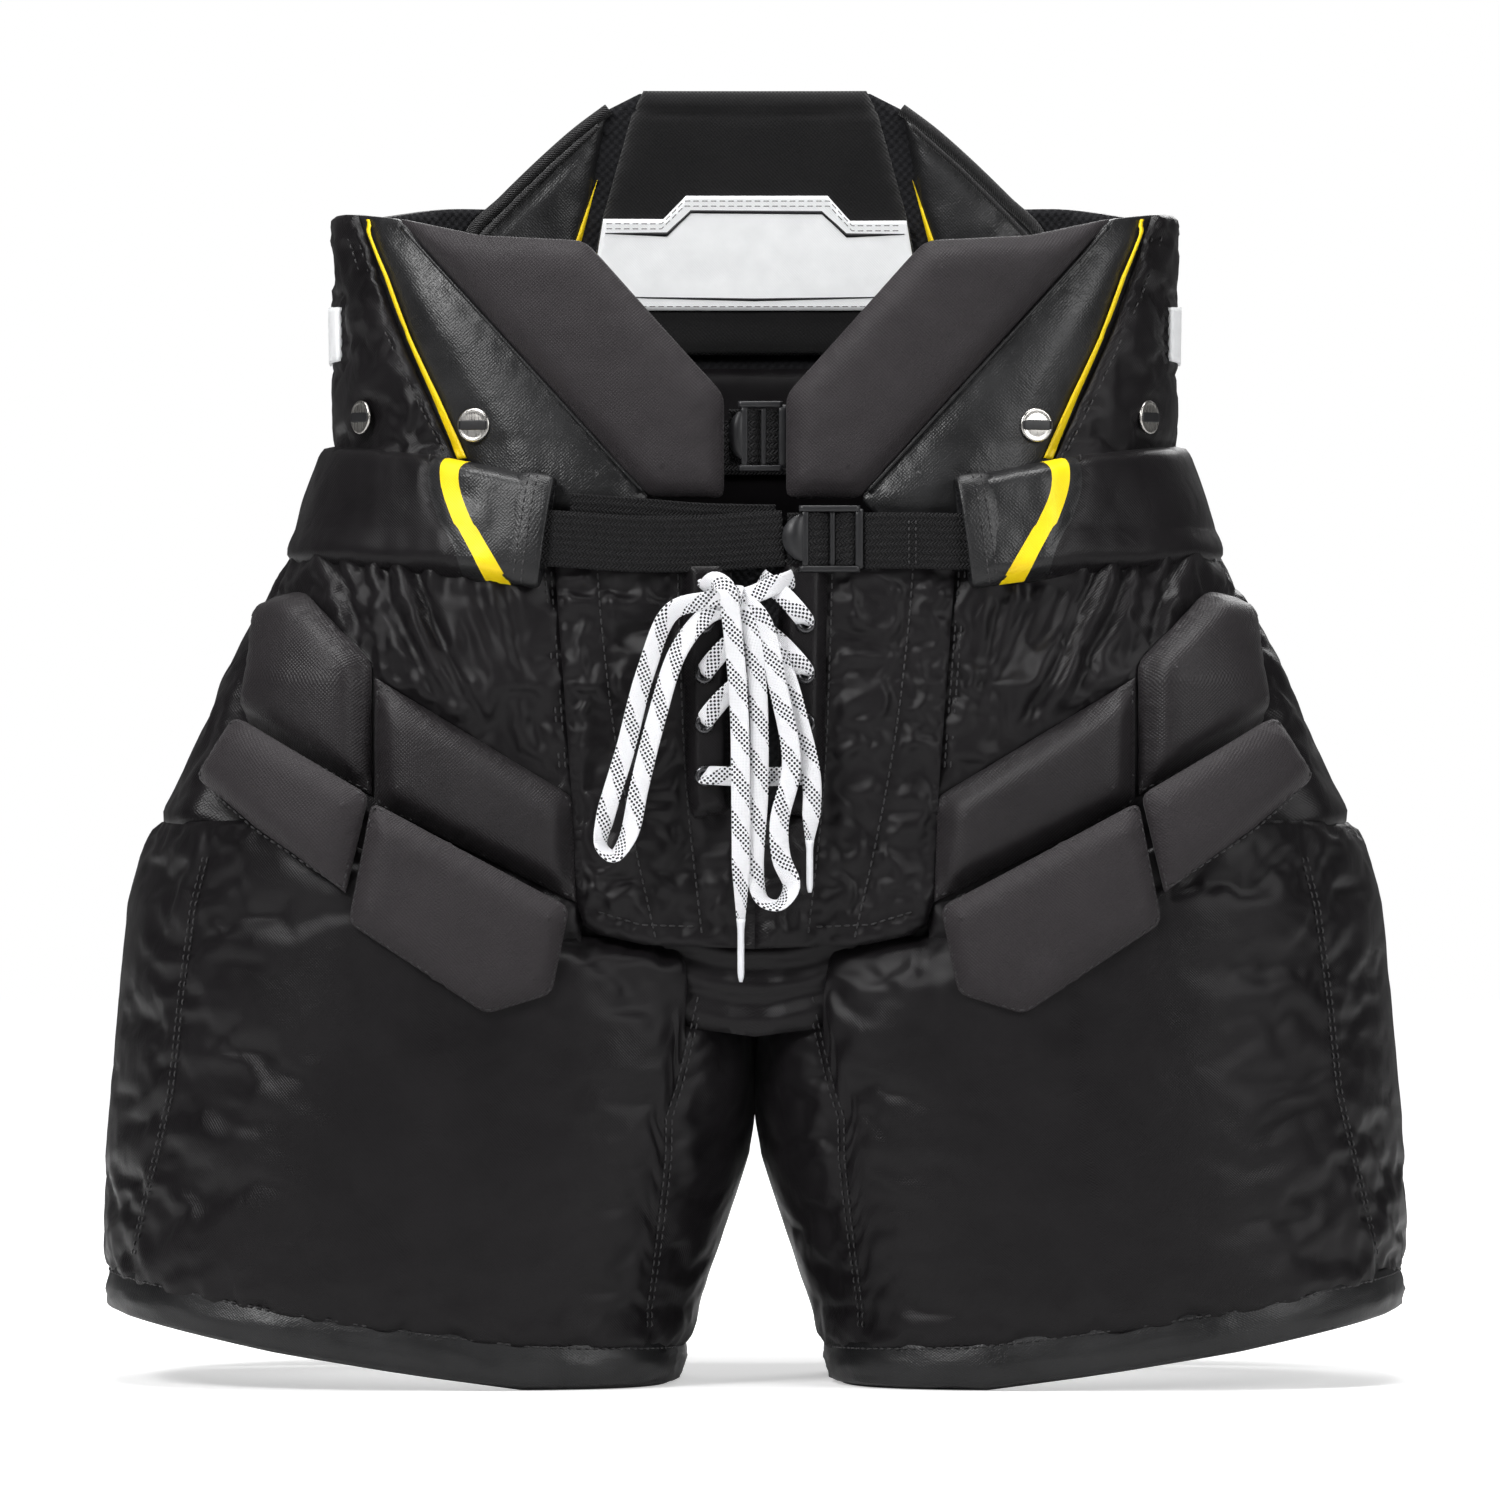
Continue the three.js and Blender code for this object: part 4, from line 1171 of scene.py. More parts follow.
def leg_top(points):
    """The leg ends under the flaps outside the hips, and lower down where the hips fill it."""
    x, y, _ = points.T
    room = (np.abs(x) / 287) ** 3.6 + (np.abs(y) / np.where(y < 0, 121, 133)) ** 3.6
    share = smooth_step((1.03 - room) / 0.12)
    return follow(LEG_TOP, points) * (1 - share) + LEG_INSIDE_TOP * share


def seam_key(line, far):
    z = np.array([p[1] for p in line], float)
    return z, np.array([LEG.u_of_x(x, height, far) for x, height in line])


def back_key(sign):
    z = np.arange(0, 331, 10.0)
    return z, np.array([LEG.u_at(sign * math.pi, height) for height in z])


LEG_KEYS = [back_key(-1), seam_key(INNER_SEAM, True), seam_key(INNER_SEAM, False),
            seam_key(SIDE_SEAM, False), seam_key(SIDE_SEAM, True), back_key(1)]
LEG_COLUMNS = [20, 36, 46, 36, 26]


def leg_sleeve(side, scale):
    return Sleeve(LEG, LEG_KEYS, [n * scale for n in LEG_COLUMNS], lambda p: follow(HEM_TOP, p) - 3,
                  leg_top, 40 * scale + 1, side)


def make_legs(name, side):
    sleeve = leg_sleeve(side, 1)
    Panel(f"leg_shell_{name}", f"leg_{name}", sleeve, cap=6.5, growth=0.035,
          seed=500 if side > 0 else 600)
    for line, far in ((SIDE_SEAM, False), (INNER_SEAM, False), (SIDE_SEAM, True)):
        heights, across = seam_key(line[1:-1], far)
        row = resample(zip(across, heights), 4)
        for shift in (-1.7, 1.7):
            THREADS.sew(f"leg_{name}", LEG, [(u + shift, z) for u, z in row], 0.6, side)
    make_hem(name, side)


def make_hem(name, side):
    """A rolled leatherette band: a closed section carried round the leg's lower edge."""
    columns = 220
    angle = np.linspace(-math.pi, math.pi, columns, endpoint=False)
    reference = LEG.at(angle, np.full(columns, 30.0))
    low, top = follow(HEM_BOTTOM, reference), follow(HEM_TOP, reference) + 1.5
    noise = Noise(700 + side)

    def bulge(t):
        rim = 5.2 * math.sin(min(1, t * 7) * math.pi / 2)
        return -3.5 + rim - 1.6 * t ** 3 + 1.6 * math.sin(math.pi * t) ** 2

    outer = [(bulge(t), t) for t in [0, 0.03, 0.07, 0.12, *np.linspace(0.2, 0.95, 8)]]
    inner = [(-1.0, 1.0), (-5.0, 1.0)] + [(-7.5, t) for t in np.linspace(0.92, 0.08, 5)]
    section = outer + inner + [(-6.8, 0.0)]
    rings, uv, span = [], [], [0.0]
    for (a, s), (b, t) in zip(section, section[1:]):
        span.append(span[-1] + math.hypot(b - a, (t - s) * 34))
    for (lift, t), along in zip(section, span):
        z = low + (top - low) * t
        u = np.array([LEG.u_at(a, h) for a, h in zip(angle, z)])
        wave = 0.7 * noise.at(u / 16, z / 40 + 7 * t, 2) * (t > 0.02) * (lift > -4)
        place = LEG.surface(np.stack([u, z], -1), lift + wave)
        if t == 0:
            place[:, 2] = low
        rings.append(mirrored(place, side))
        uv.append(np.stack([u, np.full(columns, along)], -1))
    faces = ring_faces(len(section), columns, wrap=True)
    obj = new_object(f"hem_{name}", np.vstack(rings), faces, np.vstack(uv), [LEATHER])
    attach(fix_normals(obj), f"leg_{name}", f"hem_{name}")
    round_to_start = zip(np.append(angle, math.pi), np.append(top, top[0]) - 3.5)
    THREADS.sew(f"leg_{name}", LEG, [(LEG.u_at(a, h), h) for a, h in round_to_start], 1.4, side)


LEG_LENGTH = 240
MEET_REACH = 60
SEAT_GAP = 5.0
HIP_GAP = 12


def meet_seat(patch):
    """Draws the top of a leg in to the seat behind it and to the hip beside it."""
    world = patch.world(patch.skin())
    patch.shift = np.zeros_like(world)
    below = (1 - patch.height) * LEG_LENGTH
    for i in np.flatnonzero((below < MEET_REACH) & (world[:, 1] > 5)):
        x, y, z = world[i]
        width = TORSO.surface([(TORSO.u_of_y(0, z), z)], 0)[0][0]
        behind = smooth_step((width - x) / 40)
        near = smooth_step(1 - below[i] / MEET_REACH)
        if x < width - 4 and y > 20:
            seat = TORSO.surface([(TORSO.u_of_x(x, z, far=True), z)], SEAT_GAP)[0][1]
            patch.shift[i, 1] = min(seat - y, 0) * near * behind
        _, half, _, depth, _, square = TORSO.row(z)
        out = ((abs(x) / half) ** square + (y / depth) ** square) ** (1 / square)
        inward = np.array([x, y]) * ((1 + HIP_GAP / math.hypot(x, y)) / out - 1)
        if inward[0] < 0:
            patch.shift[i, :2] += inward * near * (1 - behind) * smooth_step((y - 5) / 40)


def gather_fly(patch, seed):
    """Level gathers across the fly, deeper towards the belt."""
    u, z = patch.uv.T
    gathers = Noise(seed).at(u / 30, z / 6.5, 2)
    soft = smooth_step((patch.seam() - 1.5) / 5) * smooth_step((u - 36) / 8)
    patch.lift += (0.7 + 1.9 * smooth_step((z - 290) / 80)) * gathers * soft


def fold_hip(patch):
    """Fills out the hip's flank to meet the leg, and presses the folds into its front."""
    u, z = patch.uv.T
    past = u - TORSO.u_of_x(248, 330)
    flank = smooth_step(past / 28) * smooth_step((130 - past) / 35)
    patch.lift += flank * np.interp(z, [255, 283, 296, 318, 355, 410], [0, 16, 13, 9.5, 6, 0])
    for line, depth in HIP_FOLDS:
        away = distance_to(patch.uv, TORSO.from_front(line))
        ends = smooth_step(np.minimum(z - line[-1][1] + 6, line[0][1] + 6 - z) / 14)
        section = 0.9 * np.exp(-((away - 7) / 4.5) ** 2) - 1.3 * np.exp(-(away / 2.4) ** 2)
        patch.lift += ends * depth * section


def finish_panel(panel):
    patch, back = panel.patch, LINING
    if isinstance(patch, Sleeve):
        fine = leg_sleeve(patch.side, 2)
        fine.carry_from(patch)
        patch, back = fine, THIN_LINING
        inside = np.exp(-((1 - patch.height) / 0.05) ** 2)
        patch.lift = -14.0 * inside * (patch.uv[:, 1] < 250)
        meet_seat(patch)
    if panel.name.startswith("fly"):
        back = THIN_LINING
        gather_fly(patch, panel.seed + 40)
    if panel.name.startswith("hip_shell"):
        fold_hip(patch)
    pucker(patch, panel.seed + 9, **SMALL_GATHERS)
    pucker(patch, panel.seed + 10, **WIDE_GATHERS)
    behind = np.minimum(back, patch.lift - LEAST_THICKNESS)
    obj = patch.close(panel.name, behind, [NYLON, LINER])
    attach(obj, panel.body, panel.name, bends=panel.name.startswith("leg"))


for side_name, side in SIDES.items():
    make_hips(side_name, side)
    make_legs(side_name, side)
make_back()
simulate(CLOTH)
for cloth_panel in CLOTH:
    finish_panel(cloth_panel)


# ---------------------------------------------------------------- waist trim

def strip_outline(centre, widths):
    """A thin outline along a front-view line, with its own width at each point."""
    left = [(x - w / 2, z) for (x, z), w in zip(centre, widths)]
    right = [(x + w / 2, z) for (x, z), w in zip(centre, widths)]
    return left + right[::-1]


def flat_patch(name, body, form, uv, side, lift, thickness, material, spacing=2.5, inward=False,
               nodes=()):
    """A thin strip or label lying on a form. lift is a number or a function of (u, z)."""
    patch = Patch(form, uv, spacing, side=side)
    patch.lift = lift(patch.uv) if callable(lift) else np.full(len(patch.uv), float(lift))
    behind = patch.lift - (-thickness if inward else thickness)
    attach(patch.close(name, behind, [material], inward=inward), body, *nodes)


def make_waist_trim(name, side):
    wedge = TORSO.corners(LEATHER_WEDGE)

    def on_leather(uv):
        return pillow(distance_to(uv, wedge, True), 4.5, 26, -3.5, 1.2, 3.4) + 1.5

    stripe = [(196, 583.5), (184, 554), (173.5, 523), (160, 494), (146.5, 463)]
    uv = TORSO.corners(strip_outline(stripe, [1.2, 2.2, 3.2, 4.2, 5.2]))
    flat_patch(f"waist_stripe_{name}", "waist", TORSO, uv, side, on_leather, 0.9, YELLOW, 2.0)

    u0, u1 = TORSO.u_of_x(205.6, 526), TORSO.u_of_y(14, 526)
    tag = [(u0, 540), (u1, 542), (u1 - 3, 512), (u0, 513)]
    flat_patch(f"side_tag_{name}", "waist", TORSO, tag, side, 4.6, 2.6, LABEL)


# ---------------------------------------------------------------- belt

WING_TOP = [(100, 451.4), (128, 457.2), (156, 463), (200, 468.5)]
WING_LOW = [(200, 409), (170, 405), (128, 399.6), (109, 397.2)]
YELLOW_OUTER = [(149.5, 476), (151, 461), (151, 447), (145, 428), (136, 409), (131, 396)]
YELLOW_INNER = [(137, 476), (139, 465), (142, 447), (136, 428), (125.5, 408), (119, 396)]
LEATHER_EDGE = [(155, 476), (156.5, 462), (158, 447), (152, 428), (145, 412), (143, 396)]
WING_BACK_Y = 60.0


def make_belt_wing(name, side):
    top = TORSO.from_front(WING_TOP)
    end = TORSO.u_of_y(WING_BACK_Y, 474)
    top += [(u, 468.5 + 5.5 * (u - top[-1][0]) / (end - top[-1][0]))
            for u in np.arange(top[-1][0] + 8, end - 5, 8)]
    low = TORSO.from_front(WING_LOW)
    end = TORSO.u_of_y(WING_BACK_Y, 412)
    under = [(u, 412 - 3 * (end - u) / (end - low[0][0])) for u in np.arange(end - 8, low[0][0] + 5, -8)]
    outline = top + TORSO.along_y(WING_BACK_Y, 474, 412) + under + low
    lines = {key: TORSO.corners(smooth_line(line)) for key, line in
             (("outer", YELLOW_OUTER), ("inner", YELLOW_INNER), ("leather", LEATHER_EDGE))}
    patch = Patch(TORSO, outline, 3.0, side=side, guides=lines.values())
    rim = TORSO.corners([(100, 451.4), (109, 397.2)])
    rolled = np.minimum(distance_to(patch.uv, top), distance_to(patch.uv, under + low))
    rolled = np.minimum(rolled, distance_to(patch.uv, TORSO.along_y(WING_BACK_Y, 474, 412)))
    rise = np.exp(-(np.maximum(distance_to(patch.uv, rim) - 38, 0) / 24) ** 1.6)
    noise = Noise(820 + side)
    patch.lift = pillow(rolled, 0, 9, 2.2, 8.6, 1.6) + 8.2 * rise * smooth_step((rolled + 4) / 11)
    ripple = noise.at(patch.uv[:, 0] / 13, patch.uv[:, 1] / 22, 2)
    patch.lift += (0.45 + 0.5 * rise) * ripple * smooth_step(rolled / 8)
    seam = distance_to(patch.uv, lines["leather"])
    patch.lift -= 1.3 * np.exp(-(seam / 2.2) ** 2)
    band = lines["outer"] + lines["inner"][::-1]
    hide = [(0, 500)] + lines["leather"] + [(0, 380)]

    def pick(centre):
        leather = inside_polygon(centre, hide)
        return np.where(inside_polygon(centre, band), 1, np.where(leather, 0, 2))

    obj = patch.close(f"belt_wing_{name}", 0.4, [LEATHER, YELLOW, NYLON, LINER], pick)
    attach(obj, "waist", f"belt_wing_{name}")
    near = [(u + 1.2, z) for u, z in resample(lines["leather"], 3) if 402 < z < 463]
    THREADS.sew("waist", TORSO, near, 9.5, side)
    make_cuff(name, side)


def make_cuff(name, side):
    """The hollow leather end of a belt wing: an outer skin that turns in over its rim."""
    # Distance out from the rim, then shares of the full height and depth, from inside out.
    shape = [(-16, 0.62, 0.50), (-9, 0.80, 0.66), (-3, 0.90, 0.80), (-0.5, 0.95, 0.90), (0.4, 1.0, 1.0),
             (-0.4, 1.04, 1.06), (-2.5, 1.06, 1.09), (-8, 1.05, 1.06), (-12, 1.035, 1.02),
             (-16, 0.99, 0.92), (-20, 0.90, 0.70), (-23, 0.75, 0.40)]
    around = 44
    turn = np.arange(around) * 2 * math.pi / around
    high = signed_power(np.cos(turn), 0.7)
    deep = signed_power(np.sin(turn), 0.75)
    rings, uv = [], []
    noise = Noise(840 + side)
    for inward, tall, thick in shape:
        shift = -inward
        middle = 424.2 + 0.165 * shift
        z = middle + (26.3 + 0.035 * shift) * tall * high
        rim_x = np.interp(z, [397, 451.4], [107.5, 98.5])
        u = np.array([TORSO.u_of_x(x, h) for x, h in zip(rim_x, z)]) + shift - 1.0
        lift = 9.8 + 8.4 * thick * deep + 0.35 * noise.at(turn * 3, np.full(around, shift / 9), 1)
        rings.append(mirrored(TORSO.surface(np.stack([u, z], -1), lift), side))
        uv.append(np.stack([u, 26 * turn], -1))
    faces = ring_faces(len(shape), around)
    # The caps run the other way round, which settles how they are split into triangles.
    faces[-2:] = [cap[::-1] for cap in faces[-2:]]
    index = [1 if i < 3 * around else 0 for i in range(len(faces) - 2)] + [1, 0]
    obj = new_object(f"belt_cuff_{name}", np.vstack(rings), faces, np.vstack(uv), [LEATHER, LINER],
                     index)
    attach(fix_normals(obj), "waist")
    half = [k for k in range(around) if deep[k] > 0.25]
    for row in (7, 8):
        world = rings[row][half]
        normal = np.cross(np.gradient(world, axis=0), (rings[row + 1] - rings[row - 1])[half])
        normal /= np.linalg.norm(normal, axis=1)[:, None]
        normal *= np.sign(normal @ np.array([0, -1.0, 0]))[:, None]
        THREADS.along("waist", world + 0.1 * normal, normal)


def band(name, body, path, width, thickness, *nodes):
    """Flat webbing along a path, its flat side to the front."""
    path = curve_through(path, max(24, len(path) * 8))
    attach(tube(name, path, width / 2, WEBBING, around=24, flat=thickness / width, square=0.3,
                normal=(0, -1, 0)), body, *nodes)


def join(name, pieces):
    """One object out of several closed meshes that share their materials."""
    bm = bmesh.new()
    for piece in pieces:
        bm.from_mesh(piece.data)
    mesh = pieces[0].data
    bm.to_mesh(mesh)
    bm.free()
    for piece in pieces[1:]:
        bpy.data.objects.remove(piece)
    pieces[0].name = name
    return pieces[0]


def bar(points, width, depth):
    """One straight or bent member of a moulded buckle."""
    return tube("bar", points, width / 2, PLASTIC, around=16, flat=depth / width, square=0.45,
                normal=(0, -1, 0))


def ladder_lock(name, low, high, face, back):
    """Rails, bars and a rounded thumb tab around the windows of a ladder-lock buckle."""
    (x0, z0), (x1, z1) = low, high
    y, depth = (face + back) / 2, back - face
    span, tall = x1 - x0, z1 - z0
    tab = x0 + span * 0.3
    rails = []
    for z, lean in ((z1 - 1.6, -0.6), (z0 + 1.6, -0.6)):
        xs = np.linspace(tab - 3, x1 - 1.5, 14)
        lip = lean * np.sin(np.linspace(0, math.pi, 14))
        rails.append(bar([(x, y + lip[i], z) for i, x in enumerate(xs)], 3.2, depth * 1.15))
    for share, thick, offset in ((0.3, 3.4, 0.0), (0.63, 2.6, 0.8), (0.955, 4.0, 0.0)):
        x = x0 + span * share
        upright = [(x, y + offset, z) for z in np.linspace(z0 + 1.8, z1 - 1.8, 10)]
        rails.append(bar(upright, thick, depth * 0.9))
    rows = np.linspace(-1, 1, 17)
    half = tall * 0.36
    middle = (z0 + z1) / 2 + 0.02 * tall
    reach = (tab - x0) * np.sqrt(1 - rows ** 2 * 0.96)
    shape = ((0, 0), (1, 0.05), (1.03, 0.5), (1, 0.95), (0, 1))
    plate = [[(tab + 1 - r * s, y + depth * 0.42 - depth * 0.84 * smooth_step(t), middle + half * v)
              for v, r in zip(rows, reach)] for s, t in shape]
    points = np.array(plate).reshape(-1, 3)
    n, faces = len(rows), []
    for i in range(4):
        for k in range(n - 1):
            faces.append((i * n + k, i * n + k + 1, (i + 1) * n + k + 1, (i + 1) * n + k))
    faces.append(tuple(k for k in range(n - 1, -1, -1)) + tuple(4 * n + k for k in range(n)))
    faces.append(tuple(i * n for i in range(5)))
    faces.append(tuple(i * n + n - 1 for i in range(5))[::-1])
    rails.append(fix_normals(new_object("tab", points, faces, points[:, [0, 2]], [PLASTIC])))
    attach(join(name, rails), name, name)


def make_belt():
    band("belt_strap", "waist", [(-112, -127.6, 423), (-90, -128.4, 421.6), (-60, -128.9, 419.6),
                                 (-30, -128.6, 419.6), (0, -128.2, 421.4), (14, -127.2, 422.2)], 28.0, 1.9,
         "belt_strap")
    band("strap_tail", "strap_tail", [(-92, -125.2, 431.5), (-60, -125.0, 429.2), (-25, -124.9, 426.6),
                                      (10, -124.8, 425.8)], 26.5, 1.5, "strap_tail")
    band("strap_anchor", "waist", [(54, -128.4, 421), (70, -128.6, 421.2), (90, -128.2, 421),
                                   (110, -127.6, 420.6)], 28.0, 1.9, "strap_anchor")
    weave = [(16, -127.0, 421.8), (21, -127.2, 421.8), (27, -129.8, 421.8), (31, -130.4, 421.8),
             (35, -128.6, 421.8), (38, -127.0, 421.8), (42, -129.8, 421.8), (46.5, -130.4, 421.8),
             (50, -128.2, 421.8), (55, -127.8, 421.6)]
    band("strap_weave", "buckle", weave, 26.4, 1.8)
    ladder_lock("buckle", (12.6, 405.5), (53.4, 438.6), -131.4, -127.4)
    ladder_lock("inner_buckle", (-14, 456), (15, 491), -104.8, -101.2)
    inner = [(-13, -99.8, 473.5), (-9, -100.0, 473.5), (-4, -103.0, 473.5), (-1, -103.2, 473.5),
             (2.5, -100.6, 473.5), (6, -102.6, 473.5), (9.5, -103.2, 473.5), (14, -100.2, 473.5)]
    band("inner_weave", "inner_buckle", inner, 27, 1.7)
    for x in (76.2, 79.6):
        rows = np.array([(x, -129.75, z) for z in np.arange(409, 434, 1.0)])
        THREADS.along("waist", rows, np.tile([0.0, -1.0, 0.0], (len(rows), 1)), 1.8, 0.35)
    u0, u1 = TORSO.u_of_x(17, 473), TORSO.u_of_x(-17, 473)
    loop = 2 * TORSO.u_at(math.pi, 473)
    places = np.linspace(u0, loop + u1, 160)
    turned = np.where(places > loop / 2, places - loop, places)
    run = np.stack([turned, np.full(len(turned), 473.5)], -1)
    belt = tube("inner_belt", TORSO.surface(run, -13.2), 14, WEBBING, around=20, flat=0.06,
                normal=TORSO.normal(run), square=0.3)
    attach(belt, "waist", "inner_belt")


# ---------------------------------------------------------------- metal parts

def lathe(name, profile, centre, normal, material, around=48):
    """A closed turned part: (radius, height) pairs round an axis through centre."""
    normal = np.array(normal, float) / np.linalg.norm(normal)
    side_axis = np.cross([0, 0, 1.0], normal)
    side_axis /= np.linalg.norm(side_axis)
    up_axis = np.cross(normal, side_axis)
    turn = np.arange(around) * 2 * math.pi / around
    circle = np.cos(turn)[:, None] * side_axis + np.sin(turn)[:, None] * up_axis
    points = np.vstack([centre + r * circle + h * normal for r, h in profile])
    uv = np.vstack([np.stack([r * np.cos(turn), r * np.sin(turn)], -1) for r, _ in profile])
    faces = ring_faces(len(profile), around)
    return fix_normals(new_object(name, points, faces, uv, [material]))


def torso_spot(x, z, lift, side):
    """A point over the torso's front, and the way that the torso faces there."""
    spot = np.array(TORSO.corners([(x, z)]))
    return mirrored(TORSO.surface(spot, lift)[0], side), mirrored(TORSO.normal(spot)[0], side)


def make_button(place, name, side, x, z):
    at, normal = torso_spot(x, z, 0.0, side)
    profile = [(3.2, 0.6), (3.2, 1.9), (7.9, 2.1), (8.45, 2.5), (8.55, 3.0), (8.4, 3.5), (7.9, 3.85),
               (7.2, 3.9), (6.9, 3.75), (5.5, 3.9), (3.0, 4.02), (0.8, 4.05)]
    disc = lathe("disc", profile, at, normal, NICKEL)
    attach(disc, "waist", f"button_{place}_{name}")
    disc.name = f"button_{place}_{name}"
    across = np.cross([0, 0, 1.0], normal)
    across /= np.linalg.norm(across)
    line = np.array([at + across * s + normal * 3.95 for s in np.linspace(-7.6, 7.6, 12)])
    ends = [0.75, 0.95] + [1.0] * 8 + [0.95, 0.75]
    plate = tube(f"button_band_{place}_{name}", line, 2.5, PLASTIC, around=16, flat=0.16, normal=normal,
                 square=0.4, taper=ends)
    attach(plate, "waist")


def make_eyelets(name, side):
    facing = TORSO.corners(rounded([(12.5, 412), (36, 412), (34, 300), (31, 283), (12.5, 287)], 4))

    def raised(uv):
        return 5.4 + 5.5 * smooth_step(distance_to(uv, facing, True) / 6)

    flat_patch(f"eyelet_facing_{name}", "waist", TORSO, facing, side, raised, 2.2, NYLON, 2.2)
    profile = [(2.3, 0.2), (2.4, 1.3), (2.9, 1.9), (3.7, 2.1), (4.6, 1.8), (5.1, 1.0), (5.2, 0.2)]
    rings = [lathe("ring", profile, *torso_spot(EYELET_X, z, 10.7, side), GUNMETAL, 32)
             for z in EYELET_ROWS]
    row = f"eyelet_row_{name}"
    attach(join(row, rings), "waist", row)


# ---------------------------------------------------------------- spine guard

KNIT_PAD = [(-90, 521), (-89, 545), (-80, 590), (-64, 645), (-58, 656.5),
            (58, 656.5), (64, 645), (80, 590), (89, 545), (90, 521)]
SPINE_WING = [(76.5, 647), (93, 635), (110, 620.5), (132, 600), (151, 581), (152, 560), (122, 545),
              (93, 545), (92, 572), (84, 610)]
BACK_LABEL = [(-88, 544), (-80, 591), (-48, 591), (-36, 603), (38, 603), (50, 590), (80, 590), (88, 544)]


def make_spine_guard():
    pad = Patch(TORSO_BACK, TORSO_BACK.region(KNIT_PAD), 3.2)
    noise = Noise(900)
    u, z = pad.uv.T
    pad.lift = -pillow(pad.edge, 0, 9, 13.5, 18.0, 0.8) - 0.3 * noise.at(u / 22, z / 22, 2)
    fold = z - 646 - 1.6 * noise.at(u / 30, u / 40, 1)
    pad.lift += 1.4 * np.exp(-(fold / 1.6) ** 2)
    rear = -11.2 + 1.2 * smooth_step(pad.edge / 10)
    obj = pad.close("spine_pad", rear, [KNIT, NYLON], inward=True)
    attach(obj, "spine_guard", "spine_pad")
    for name, side in SIDES.items():
        make_spine_wing(name, side)
    make_label()
    shell = [(-90, 523), (-122, 547), (-150, 562), (-149, 580), (-76, 647), (-60, 655),
             (60, 655), (76, 647), (149, 580), (150, 562), (122, 547), (90, 523)]
    core = Patch(TORSO_BACK, TORSO_BACK.region(shell), 4.0)
    u, z = core.uv.T
    core.lift = -10.6 + 1.6 * smooth_step(core.edge / 14) + 0.4 * noise.at(u / 18, z / 18, 2)
    obj = core.close("spine_shell", -13.0, [NYLON, LINER])
    attach(obj, "spine_guard")


def make_spine_wing(name, side):
    corners = TORSO_BACK.corners(SPINE_WING)
    wing = Patch(TORSO_BACK, TORSO_BACK.region(SPINE_WING), 2.8, side=side)
    noise = Noise(910 + side)
    inner = inset(corners, 9)

    def padding(edge):
        return -pillow(edge, 1, 14, 12.5, 18.2, 2.2)

    wing.lift = padding(wing.edge)
    wing.lift += 1.3 * np.exp(-(distance_to(wing.uv, inner[:5]) / 1.6) ** 2)
    wing.lift -= 0.6 * noise.at(wing.uv[:, 0] / 20, wing.uv[:, 1] / 20, 2) * smooth_step(wing.edge / 8)
    rear = -11.4 + 2.4 * smooth_step(wing.edge / 12)
    obj = wing.close(f"spine_wing_{name}", rear, [LEATHER, LEATHER], inward=True)
    attach(obj, "spine_guard", f"spine_wing_{name}")
    THREADS.sew("spine_guard", TORSO_BACK, inner[:5], -16.2, side)
    edge = curve_through([(u, z, 0) for u, z in corners[:6]], 90)[:, :2]
    binding = mirrored(TORSO_BACK.surface(edge, -13.5), side)
    attach(tube(f"spine_binding_{name}", binding, 3.1, TRIM, around=14), "spine_guard")
    ridge = mirrored(TORSO_BACK.surface(resample(inset(corners, 4.6)[:5], 3), -17.0), side)
    attach(tube(f"spine_ridge_{name}", ridge, 1.5, TRIM, around=10), "spine_guard")
    sliver = TORSO_BACK.corners([(82.5, 611), (92.6, 573), (96.4, 574)])
    flat_patch(f"spine_sliver_{name}", "spine_guard", TORSO_BACK, sliver, side,
               lambda p: padding(distance_to(p, corners, True)) - 0.7, 0.8, YELLOW, 2.0, inward=True)


LABEL_TOP = [(-79, 591), (-49, 591), (-37, 603), (39, 603), (51, 590), (79, 590)]
PINSTRIPES = {
    "upper": ([(-79, 583.5), (-46, 583), (-33.5, 595), (35, 594.5), (48, 582.5), (79, 583)],
              [0.4, 2.2, 1.6, 1.6, 2.2, 0.4]),
    "lower": ([(-76, 551), (0, 549.6), (76, 551)], [0.4, 1.4, 0.4]),
}


def make_label():
    """A plain white label with stitched borders and black pinstripes."""
    flat_patch("back_label", "spine_guard", TORSO_BACK, TORSO_BACK.region(BACK_LABEL), 1, -19.9, 1.4,
               LABEL, 3.0, inward=True, nodes=["back_label"])
    for tag, (line, widths) in PINSTRIPES.items():
        centre = TORSO_BACK.corners(line)
        top = [(u, z + w / 2) for (u, z), w in zip(centre, widths)]
        low = [(u, z - w / 2) for (u, z), w in zip(centre, widths)]
        flat_patch(f"label_stripe_{tag}", "spine_guard", TORSO_BACK, top + low[::-1], 1, -20.25, 0.5,
                   PLASTIC, inward=True)
    borders = [[(x, z - drop) for x, z in LABEL_TOP] for drop in (2.6, 5.2)]
    for line in borders + [[(-84, 546), (84, 546)]]:
        THREADS.sew("spine_guard", TORSO_BACK, TORSO_BACK.corners(line), -20.0, radius=0.28)


# ---------------------------------------------------------------- inside

TONGUE = [(-47, 237), (47, 237), (47, 429), (-47, 429)]
THIGH_GUARD = [(84, 46), (250, 57), (260, 174), (84, 174)]
SKIRT = [(-112, 196), (-50, 186), (-30, 179), (0, 175), (30, 179), (50, 186), (112, 196),
         (112, 250), (-112, 250)]
LUMBAR_PAD = [(-66, 436), (66, 436), (70, 500), (60, 514), (-60, 514), (-70, 500)]


